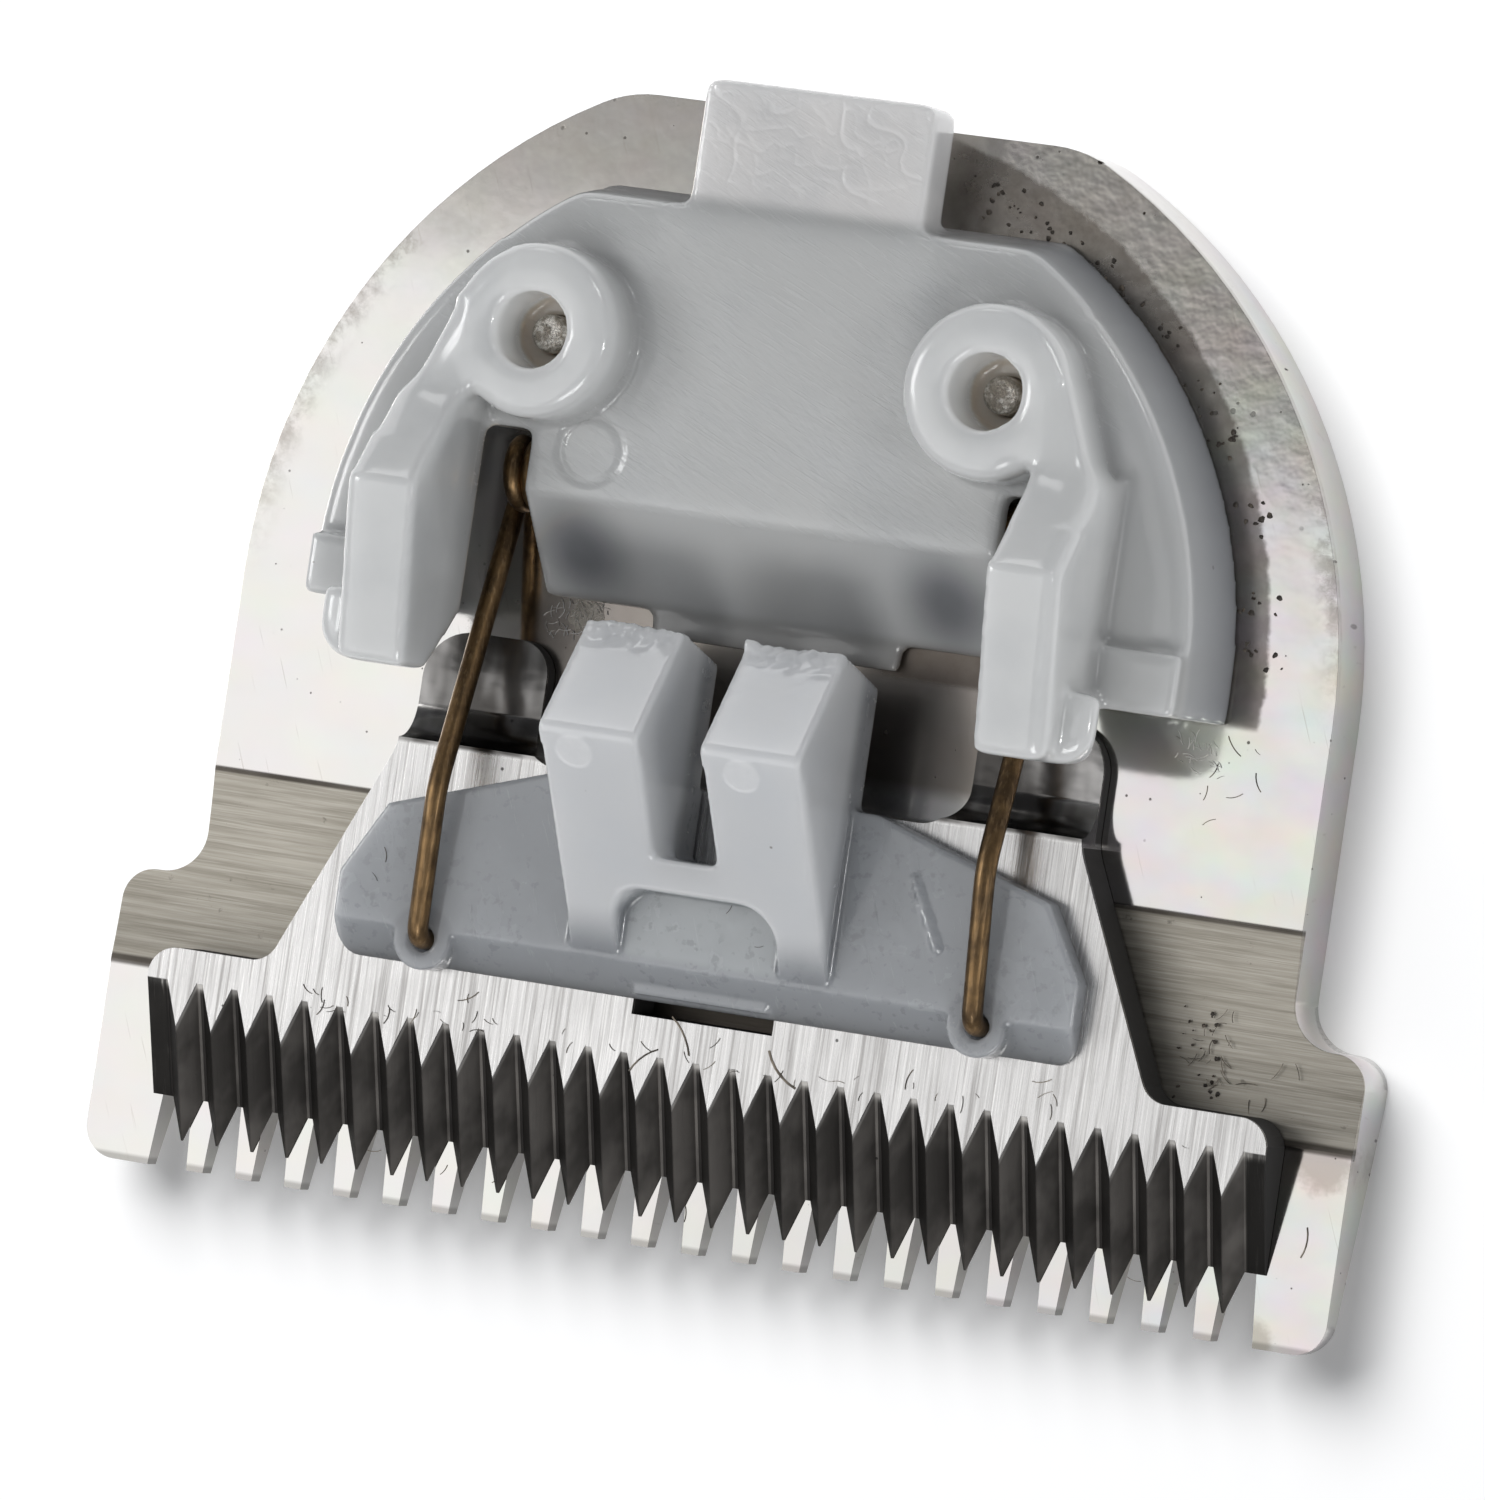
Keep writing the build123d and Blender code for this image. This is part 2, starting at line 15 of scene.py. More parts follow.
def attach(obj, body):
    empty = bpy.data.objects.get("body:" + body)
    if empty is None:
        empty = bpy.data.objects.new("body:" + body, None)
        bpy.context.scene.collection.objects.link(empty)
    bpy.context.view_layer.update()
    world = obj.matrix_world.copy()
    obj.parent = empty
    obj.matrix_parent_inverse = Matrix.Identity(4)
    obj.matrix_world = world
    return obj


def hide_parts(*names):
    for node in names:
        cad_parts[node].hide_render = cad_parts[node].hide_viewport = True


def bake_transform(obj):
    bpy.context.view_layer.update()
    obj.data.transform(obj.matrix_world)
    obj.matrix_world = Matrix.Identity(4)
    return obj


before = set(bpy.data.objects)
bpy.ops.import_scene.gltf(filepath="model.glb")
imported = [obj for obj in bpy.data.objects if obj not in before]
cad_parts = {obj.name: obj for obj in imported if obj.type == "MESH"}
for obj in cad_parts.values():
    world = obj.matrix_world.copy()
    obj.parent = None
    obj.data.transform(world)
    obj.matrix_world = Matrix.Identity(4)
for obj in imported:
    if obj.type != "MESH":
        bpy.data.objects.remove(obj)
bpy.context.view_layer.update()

log = logging.getLogger("clipper_blade")

MM = 0.001
HALF_DEPTH = 13.875
COMB_TOP = 2.0
UP = Vector((0.0, 0.0, 1.0))

Span = tuple[float, float]
Triple = tuple[float, float, float]
Colour = Triple
Input = Union["Value", bpy.types.NodeSocket, float, Sequence[float]]


class Body(Enum):
    """The two bodies that pieces ride on."""

    BASE = "base"
    CUTTER = "cutter"


class Slot(Enum):
    """The material slots of the part."""

    COMB = "comb_steel"
    CUTTER = "cutter_steel"
    FORK = "fork_plastic"
    FRAME = "frame_plastic"
    SPRING = "spring_wire"
    SCREW = "screw_steel"


def spot(x: float, y: float, z: float) -> Vector:
    """Give the place of a point in the row's frame.

    Args:
        x: Millimetres to the right of the middle.
        y: Millimetres behind the comb's front edge.
        z: Millimetres above the comb's top face.

    Returns:
        The same point in millimetres of the row's frame.
    """
    return Vector((x, y - HALF_DEPTH, z + COMB_TOP))


# Shader sheets


class Value:
    """A number socket that takes part in Python sums; each sum adds a Math node."""

    def __init__(self, sheet: "Sheet", socket: bpy.types.NodeSocket) -> None:
        """Keep the sheet and the socket."""
        self.sheet = sheet
        self.socket = socket

    def __add__(self, other: Input) -> "Value":
        """Add."""
        return self.sheet.math("ADD", self, other)

    __radd__ = __add__

    def __sub__(self, other: Input) -> "Value":
        """Take away."""
        return self.sheet.math("SUBTRACT", self, other)

    def __rsub__(self, other: Input) -> "Value":
        """Take this away from a number."""
        return self.sheet.math("SUBTRACT", other, self)

    def __mul__(self, other: Input) -> "Value":
        """Multiply."""
        return self.sheet.math("MULTIPLY", self, other)

    __rmul__ = __mul__

    def __truediv__(self, other: Input) -> "Value":
        """Divide."""
        return self.sheet.math("DIVIDE", self, other)

    def __pow__(self, other: Input) -> "Value":
        """Raise to a power."""
        return self.sheet.math("POWER", self, other)

    def __abs__(self) -> "Value":
        """Drop the sign."""
        return self.sheet.math("ABSOLUTE", self)

    def larger(self, other: Input) -> "Value":
        """Give the larger of two values."""
        return self.sheet.math("MAXIMUM", self, other)

    def over(self, edge: float, soft: float) -> "Value":
        """Give a mask that rises from 0 to 1 across an edge.

        Args:
            edge: The value at the middle of the rise.
            soft: How wide the rise is.

        Returns:
            The mask.
        """
        node = self.sheet.add(
            "ShaderNodeMapRange",
            {"interpolation_type": "SMOOTHSTEP"},
            {0: self, 1: edge - soft / 2, 2: edge + soft / 2, 3: 0.0, 4: 1.0},
        )
        return Value(self.sheet, node.outputs[0])

    def under(self, edge: float, soft: float) -> "Value":
        """Give a mask that falls from 1 to 0 across an edge."""
        return 1.0 - self.over(edge, soft)

    def between(self, low: float, high: float, soft: float) -> "Value":
        """Give a mask that is 1 between two edges."""
        return self.over(low, soft) * self.under(high, soft)


@dataclass(frozen=True)
class Place:
    """Object coordinates in millimetres.

    Attributes:
        sheet: The sheet that they belong to.
        vector: All three coordinates.
        x: Across, from the middle.
        y: From the comb's front edge.
        z: From the comb's top face.
    """

    sheet: "Sheet"
    vector: bpy.types.NodeSocket
    x: Value
    y: Value
    z: Value

    def stretched(self, x: float, y: float, z: float, turn: float = 0.0) -> bpy.types.NodeSocket:
        """Give the coordinates turned about z and multiplied along each axis.

        Args:
            x: Cycles per millimetre across.
            y: Cycles per millimetre front to back.
            z: Cycles per millimetre upwards.
            turn: Degrees to turn the pattern by.

        Returns:
            The coordinate socket.
        """
        mapping = self.sheet.add(
            "ShaderNodeMapping",
            {"vector_type": "POINT"},
            {"Vector": self.vector, "Rotation": (0.0, 0.0, math.radians(turn))},
        )
        node = self.sheet.add(
            "ShaderNodeVectorMath",
            {"operation": "MULTIPLY"},
            {0: mapping.outputs[0], 1: (x, y, z)},
        )
        return node.outputs[0]

    def even(self, scale: float) -> bpy.types.NodeSocket:
        """Give the coordinates multiplied alike along each axis."""
        return self.stretched(scale, scale, scale)

    def distance(self, x: float, y: float, z: Union[float, None] = None) -> Value:
        """Give the distance from a point, in plan or in space.

        Args:
            x: The point's place across.
            y: The point's place from the front edge.
            z: The point's height, or None to measure in plan.

        Returns:
            The distance in millimetres.
        """
        square = (self.x - x) ** 2.0 + (self.y - y) ** 2.0
        if z is not None:
            square = square + (self.z - z) ** 2.0
        return square ** 0.5


class Sheet:
    """The node tree of one material or of the world, written as expressions.

    Attributes:
        pit_pick: How soft the choice of cells with a pit is.
        pit_least: The smallest pit's radius, as a share of the given one.
        pit_edge: Where a pit's edge lies against its radius, and how soft it is.
    """

    pit_pick: float = 0.02
    pit_least: float = 0.4
    pit_edge: Span = (0.85, 0.4)

    def __init__(self, name: str, world: bool = False) -> None:
        """Start an empty tree.

        Args:
            name: The name of the material or the world.
            world: True for a world.
        """
        self.block = (bpy.data.worlds if world else bpy.data.materials).new(name)
        self.block.use_nodes = True
        self.tree = self.block.node_tree
        self.tree.nodes.clear()

    def add(
        self, kind: str, settings: dict[str, object], inputs: dict[Union[str, int], Input]
    ) -> bpy.types.Node:
        """Add a node.

        Args:
            kind: The node's type.
            settings: Its properties, set first.
            inputs: Its sockets by name or number, each with a value or a link.

        Returns:
            The node.
        """
        node = self.tree.nodes.new(kind)
        for key, setting in settings.items():
            setattr(node, key, setting)
        for key, value in inputs.items():
            self._feed(node.inputs[key], value)
        return node

    def _feed(self, socket: bpy.types.NodeSocket, value: Input) -> None:
        """Link a socket to another, or set its value.

        Args:
            socket: The socket.
            value: The link, number, colour or vector that it gets.
        """
        if isinstance(value, Value):
            self.tree.links.new(value.socket, socket)
        elif isinstance(value, bpy.types.NodeSocket):
            self.tree.links.new(value, socket)
        elif socket.type == "RGBA" and len(value) == 3:
            socket.default_value = (*value, 1.0)
        else:
            socket.default_value = value

    def math(self, operation: str, *inputs: Input) -> Value:
        """Add a Math node and wrap its result."""
        node = self.add("ShaderNodeMath", {"operation": operation}, dict(enumerate(inputs)))
        return Value(self, node.outputs[0])

    def mix(
        self, factor: Input, first: Input, second: Input, kind: str = "MIX"
    ) -> bpy.types.NodeSocket:
        """Mix two colours.

        Args:
            factor: 0 for the first, 1 for the second.
            first: A colour or a link.
            second: A colour or a link.
            kind: The way they mix.

        Returns:
            The mixed colour's socket.
        """
        settings = {"data_type": "RGBA", "blend_type": kind, "clamp_factor": True}
        return self.add("ShaderNodeMix", settings, {0: factor, 6: first, 7: second}).outputs[2]

    def place(self) -> Place:
        """Give the object coordinates in millimetres of the blade's own layout.

        Returns:
            The coordinates, whole and axis by axis.
        """
        source = self.add("ShaderNodeTexCoord", {}, {})
        scaled = self.add(
            "ShaderNodeVectorMath",
            {"operation": "MULTIPLY_ADD"},
            {0: source.outputs["Object"], 1: (1 / MM,) * 3, 2: (0.0, HALF_DEPTH, -COMB_TOP)},
        )
        parts = self.add("ShaderNodeSeparateXYZ", {}, {0: scaled.outputs[0]}).outputs
        return Place(self, scaled.outputs[0], *(Value(self, part) for part in parts))

    def noise(
        self, vector: bpy.types.NodeSocket, detail: float = 3.0, rough: float = 0.55
    ) -> Value:
        """Give smooth noise at one cycle per unit of its coordinates.

        Args:
            vector: The coordinates.
            detail: Octaves of finer noise.
            rough: How strong each octave is against the one before.

        Returns:
            The noise, about 0.5 on average.
        """
        node = self.add(
            "ShaderNodeTexNoise",
            {"noise_dimensions": "3D"},
            {"Vector": vector, "Scale": 1.0, "Detail": detail, "Roughness": rough},
        )
        return Value(self, node.outputs[0])

    def tint(self, vector: bpy.types.NodeSocket, detail: float) -> bpy.types.NodeSocket:
        """Give soft noise in three colours."""
        inputs = {"Vector": vector, "Scale": 1.0, "Detail": detail}
        return self.add("ShaderNodeTexNoise", {}, inputs).outputs[1]

    def pits(self, vector: bpy.types.NodeSocket, radius: float, share: float) -> Value:
        """Give a mask of scattered round pits.

        Args:
            vector: Coordinates with one cell per unit.
            radius: The pits' radius as a share of a cell.
            share: The share of cells that has one.

        Returns:
            The mask, 1 in a pit.
        """
        inputs = {"Vector": vector, "Scale": 1.0}
        cells = self.add("ShaderNodeTexVoronoi", {"feature": "F1"}, inputs)
        pick = self.add("ShaderNodeSeparateColor", {}, {0: cells.outputs[1]})
        chosen = Value(self, pick.outputs[0]).under(share, self.pit_pick)
        size = Value(self, pick.outputs[1]) * radius + radius * self.pit_least
        return chosen * (Value(self, cells.outputs[0]) / size).under(*self.pit_edge)

    def bump(
        self, height: Value, distance: float, strength: float, normal: Union[Input, None] = None
    ) -> bpy.types.NodeSocket:
        """Turn a height into a normal.

        Args:
            height: The height, in units of the distance.
            distance: Millimetres that a height of 1 stands up.
            strength: How much of it shows.
            normal: A normal to start from.

        Returns:
            The normal's socket.
        """
        inputs = {"Height": height, "Distance": distance * MM, "Strength": strength}
        if normal is not None:
            inputs["Normal"] = normal
        return self.add("ShaderNodeBump", {}, inputs).outputs[0]

    def surface(self, inputs: dict[str, Input]) -> bpy.types.Material:
        """Close the sheet with a Principled surface.

        Args:
            inputs: The shader's sockets with values or links.

        Returns:
            The finished material.
        """
        shader = self.add("ShaderNodeBsdfPrincipled", {}, inputs)
        self.add("ShaderNodeOutputMaterial", {}, {"Surface": shader.outputs[0]})
        return self.block

    def metal(
        self, colour: Input, rough: Input, normal: Input, metallic: Input = 1.0
    ) -> bpy.types.Material:
        """Close the sheet with bare metal.

        Args:
            colour: Its colour.
            rough: Its roughness.
            normal: Its normal.
            metallic: 1 where it is bare, 0 where it is caked over.

        Returns:
            The finished material.
        """
        return self.surface(
            {"Base Color": colour, "Metallic": metallic, "Roughness": rough, "Normal": normal}
        )

    def plastic(
        self, colour: Input, rough: Input, normal: Input, depth: float
    ) -> bpy.types.Material:
        """Close the sheet with milky, glossy plastic.

        Args:
            colour: Its colour.
            rough: Its roughness.
            normal: Its normal.
            depth: Millimetres that light goes into it.

        Returns:
            The finished material.
        """
        return self.surface(
            {
                "Base Color": colour,
                "Roughness": rough,
                "Normal": normal,
                "Subsurface Weight": 0.9,
                "Subsurface Radius": (1.0, 1.0, 1.0),
                "Subsurface Scale": depth * MM,
                "IOR": 1.48,
                "Coat Weight": 0.6,
                "Coat Roughness": 0.07,
            }
        )


# Finishes


@dataclass(frozen=True)
class CombSteel:
    """Mirror-polished comb steel with a brushed channel, pits and a tarnished rear rim, with
    painted reflections of the frame and painted shade under the cutter.
    """

    land: Colour = (0.60, 0.585, 0.56)
    tarnish: Colour = (0.30, 0.265, 0.225)
    # Dark brown of the painted shade and reflection of the frame's front wall, between the fork
    # and the frame.
    film_and_painted_reflection: Colour = (0.20, 0.17, 0.145)
    channel: Colour = (0.46, 0.43, 0.375)
    channel_dark: Colour = (0.25, 0.23, 0.19)
    channel_light: Colour = (0.62, 0.59, 0.53)
    pit: Colour = (0.05, 0.042, 0.034)
    grime: Colour = (0.05, 0.042, 0.035)
    shadow: Colour = (0.085, 0.068, 0.052)
    top_from: float = -0.25
    channel_y: Span = (4.8, 9.8)
    front_seam: Span = (4.72, 4.96)
    rear_seam: Span = (9.7, 9.83)
    window_half: float = 3.4
    window_rear: float = 7.6
    tip_depth: float = 0.16
    arch_centre: float = 14.55
    arch_radius: float = 13.65
    arch_front: float = 16.0
    rear_from: float = 25.0
    rear_slant: float = 0.12
    corner_from: float = 26.0
    corner_slant: float = 0.4
    rainbow_from: float = 9.0
    frame_centre: float = 15.2
    frame_reach: float = 12.05
    frame_front: float = 14.3
    wall_reflection_y: Span = (11.7, 16.2)
    wall_reflection_half: float = 6.3
    # Darker patches on the lands: one at the front right corner, one beside the cutter's right
    # end.
    dark_patches: tuple[Triple, ...] = ((14.2, 0.15, 0.7), (15.3, 4.6, 1.0))

    def material(self) -> bpy.types.Material:
        """Build the material.

        Returns:
            The material.
        """
        sheet = Sheet(Slot.COMB.value)
        at = sheet.place()
        top = at.z.over(self.top_from, 0.04)
        in_channel = at.y.between(*self.channel_y, 0.08) * top
        cloud = sheet.noise(at.even(0.35), 4.0)
        mottle = sheet.noise(at.even(1.6), 5.0, 0.7)
        peel = sheet.noise(at.even(2.2), 2.0, 0.5)
        streak = sheet.noise(at.stretched(0.22, 7.0, 1.0), 5.0, 0.65)
        hairline = sheet.noise(at.stretched(0.5, 26.0, 1.0), 3.0, 0.6)
        scratch = sheet.noise(at.stretched(0.4, 11.0, 1.0, 68.0), 2.0, 0.5)

        rim = at.distance(0.0, self.arch_centre).over(self.arch_radius, 0.9)
        rim = rim * at.y.over(self.arch_front, 4.0)
        # Tarnish at the rear and along the rim; at the right rear it is partly painted dark
        # reflection.
        rear = (at.y - at.x * self.rear_slant).over(self.rear_from, 5.0)
        right_rear = (at.x * self.corner_slant + at.y).over(self.corner_from, 6.0)
        right_rear = right_rear * at.x.over(3.0, 5.0)
        tarnish_and_painted_reflection = (rear * 0.56).larger(right_rear * 0.62) * (0.5 + cloud)
        tarnish_and_painted_reflection = tarnish_and_painted_reflection.larger(rim * mottle.over(0.5, 0.3) * 0.55) * (0.45 + mottle * 0.9) * top
        pits = sheet.pits(at.stretched(2.4, 2.4, 0.6), 0.14, 0.3) * (rim * 0.7 + right_rear * 0.8)
        specks = sheet.pits(at.stretched(5.0, 5.0, 2.0), 0.18, 0.045)
        dirt = pits.larger(specks * 0.7) * (1.0 - in_channel)
        dark_patch: Input = 0.0
        for x, y, radius in self.dark_patches:
            ragged = at.distance(x, y) / radius + mottle * 0.9
            dark_patch = ragged.under(1.15, 0.5).larger(dark_patch)
        # Painted shade and reflection of the frame's front wall on the steel between the fork and
        # the frame, with a duller finish.
        behind = at.y.between(*self.wall_reflection_y, 0.5) * abs(at.x).under(self.wall_reflection_half, 0.6) * top
        # A band beside the frame's right wall: painted dark reflection and shadow of that wall.
        beside = at.distance(0.0, self.frame_centre) - mottle * 0.3
        beside = beside.under(self.frame_reach, 0.16)
        beside = beside * at.x.over(2.5, 1.5) * at.y.over(self.frame_front, 0.2) * top

        rainbow = sheet.tint(at.stretched(0.55, 0.8, 0.5), 3.0)
        sheen = 0.08 + at.x.over(self.rainbow_from, 5.0) * 0.15
        polished = sheet.mix(sheen, self.land, rainbow, "OVERLAY")
        polished = sheet.mix(scratch.over(0.72, 0.08) * 0.3, polished, self.tarnish)
        polished = sheet.mix(tarnish_and_painted_reflection, polished, self.tarnish)
        polished = sheet.mix(dark_patch * 0.6, polished, self.tarnish)
        # Lay the painted shade and reflection behind the fork.
        polished = sheet.mix(behind * (0.6 + cloud * 0.4), polished, self.film_and_painted_reflection)
        # Lay the painted reflection and shadow beside the frame.
        polished = sheet.mix(beside * (0.45 + mottle * 0.4), polished, self.shadow)
        brushed = sheet.mix(streak.over(0.5, 0.55), self.channel_dark, self.channel)
        brushed = sheet.mix(hairline.over(0.6, 0.3) * 0.4, brushed, self.channel_light)
        brushed = sheet.mix(mottle.over(0.68, 0.1) * 0.5, brushed, self.grime)
        colour = sheet.mix(in_channel, polished, brushed)
        seam = at.y.between(*self.rear_seam, 0.06).larger(at.y.between(*self.front_seam, 0.1))
        colour = sheet.mix(seam * top * (0.5 + cloud * 0.6), colour, self.grime)
        # Painted shade, with some grime, on the channel under the cutter's window.
        window_shade_and_grime = abs(at.x).under(self.window_half, 0.3) * at.y.under(self.window_rear, 0.4)
        colour = sheet.mix(window_shade_and_grime * in_channel * 0.9, colour, self.grime)
        colour = sheet.mix(dirt, colour, self.pit)
        colour = sheet.mix(at.y.under(self.tip_depth, 0.12) * 0.45, colour, self.pit)

        rough_land = 0.06 + tarnish_and_painted_reflection * 0.22 + mottle * 0.05 + behind * 0.12 + beside * 0.1
        rough_channel = 0.36 + streak * 0.16
        rough = rough_land * (1.0 - in_channel) + in_channel * rough_channel + dirt * 0.4
        relief = peel * (0.05 + right_rear * 0.9)
        wave = cloud * 0.6 + relief - pits * 0.3 + mottle * tarnish_and_painted_reflection * 0.12
        grain = streak * 0.5 + hairline * 0.5
        normal = sheet.bump(grain * in_channel, 0.01, 0.5, sheet.bump(wave, 0.02, 0.4))
        return sheet.metal(colour, rough, normal)


@dataclass(frozen=True)
class CutterSteel:
    """Brushed cutter steel with dark ground grooves and polished ears; painted glints and shade
    in the grooves, painted reflections on the ears, and dull side walls painted near-black as
    shade.
    """

    face: Colour = (0.63, 0.62, 0.61)
    scratch: Colour = (0.30, 0.29, 0.28)
    bright: Colour = (0.9, 0.89, 0.87)
    groove: Colour = (0.2, 0.187, 0.174)
    # Light tone of the painted glints on groove edges and apexes.
    painted_groove_glint: Colour = (0.62, 0.60, 0.57)
    ear: Colour = (0.38, 0.37, 0.36)
    ear_dark: Colour = (0.07, 0.066, 0.062)
    # Near-black: the side walls' painted shade and dark reflection, also used for darker marks in
    # the grooves.
    wall: Colour = (0.022, 0.021, 0.02)
    top: float = 1.43
    wall_top: float = 1.33
    ear_wall_top: float = 0.45
    groove_rear: float = 4.75
    groove_pitch: float = 0.926
    edge_depth: float = 0.07
    apex_length: float = 0.35
    ear_front: float = 11.1
    half_head: float = 14.35
    shelf_width: float = 0.5

    def material(self) -> bpy.types.Material:
        """Build the material.

        Returns:
            The material.
        """
        sheet = Sheet(Slot.CUTTER.value)
        at = sheet.place()
        streak = sheet.noise(at.stretched(7.0, 0.16, 1.0), 5.0, 0.65)
        hairline = sheet.noise(at.stretched(26.0, 0.35, 1.0), 3.0, 0.6)
        patch = sheet.noise(at.stretched(0.8, 0.5, 0.8), 3.0)
        wet = sheet.noise(at.stretched(0.8, 1.3, 1.2), 2.0, 0.5)
        # Soft streaks for the painted reflections on the polished ears.
        painted_ear_reflection = sheet.noise(at.stretched(1.0, 0.3, 0.5), 2.0)
        specks = sheet.pits(at.stretched(3.5, 3.5, 1.0), 0.15, 0.05)

        in_groove = at.y.under(self.groove_rear, 0.04) * at.z.under(self.top - 0.02, 0.02)
        # Painted glints along the groove edges and at the groove apexes.
        edge = in_groove * at.z.over(self.top - self.edge_depth, 0.05)
        painted_apex_glint = in_groove * at.y.over(self.groove_rear - self.apex_length, 0.2)
        in_ear = at.y.over(self.ear_front, 0.12)
        low = at.z.under(self.wall_top, 0.06)
        on_wall = low * at.y.between(self.groove_rear, self.ear_front - 0.1, 0.02)
        on_wall = on_wall.larger(in_ear * at.z.under(self.ear_wall_top, 0.05))
        on_wall = on_wall.larger(abs(at.x).over(self.half_head - 0.03, 0.03) * low)

        colour = sheet.mix(streak.under(0.44, 0.24) * 0.8, self.face, self.scratch)
        colour = sheet.mix(hairline.over(0.58, 0.25) * 0.45, colour, self.bright)
        colour = sheet.mix(patch.over(0.6, 0.3) * 0.2, colour, self.scratch)
        # Painted reflections on the ears, in dark and light streaks.
        ear = sheet.mix(painted_ear_reflection.over(0.54, 0.4), self.ear_dark, self.ear)
        colour = sheet.mix(in_ear, colour, ear)
        ground = sheet.mix(edge * patch + painted_apex_glint * streak, self.groove, self.painted_groove_glint)
        # Painted shade on each groove's far facet.
        painted_far_side_shade = sheet.math("FRACT", at.x / self.groove_pitch).under(0.5, 0.06)
        ground = sheet.mix(patch.under(0.5, 0.3) * 0.55, ground, self.wall)
        ground = sheet.mix(painted_far_side_shade * (1.0 - painted_apex_glint) * 0.85, ground, self.wall)
        shelf = abs(at.x).over(self.half_head - self.shelf_width, 0.06)
        ground = sheet.mix(shelf * streak.under(0.62, 0.2) * 0.9, ground, self.wall)
        colour = sheet.mix(in_groove, colour, ground)
        # Paint the side walls near-black as shade and dark reflection.
        colour = sheet.mix(on_wall, colour, self.wall)
        colour = sheet.mix(specks * 0.8, colour, self.wall)

        rough = (0.18 + streak * 0.16) * (1.0 - in_ear)
        rough = rough + in_ear * 0.2 + in_groove * 0.34 + on_wall * 0.4
        grain = (streak * 0.6 + hairline * 0.4) * (1.0 - in_ear)
        normal = sheet.bump(wet * in_ear, 0.05, 0.5, sheet.bump(grain, 0.012, 0.5))
        return sheet.metal(colour, rough, normal, 1.0 - on_wall)


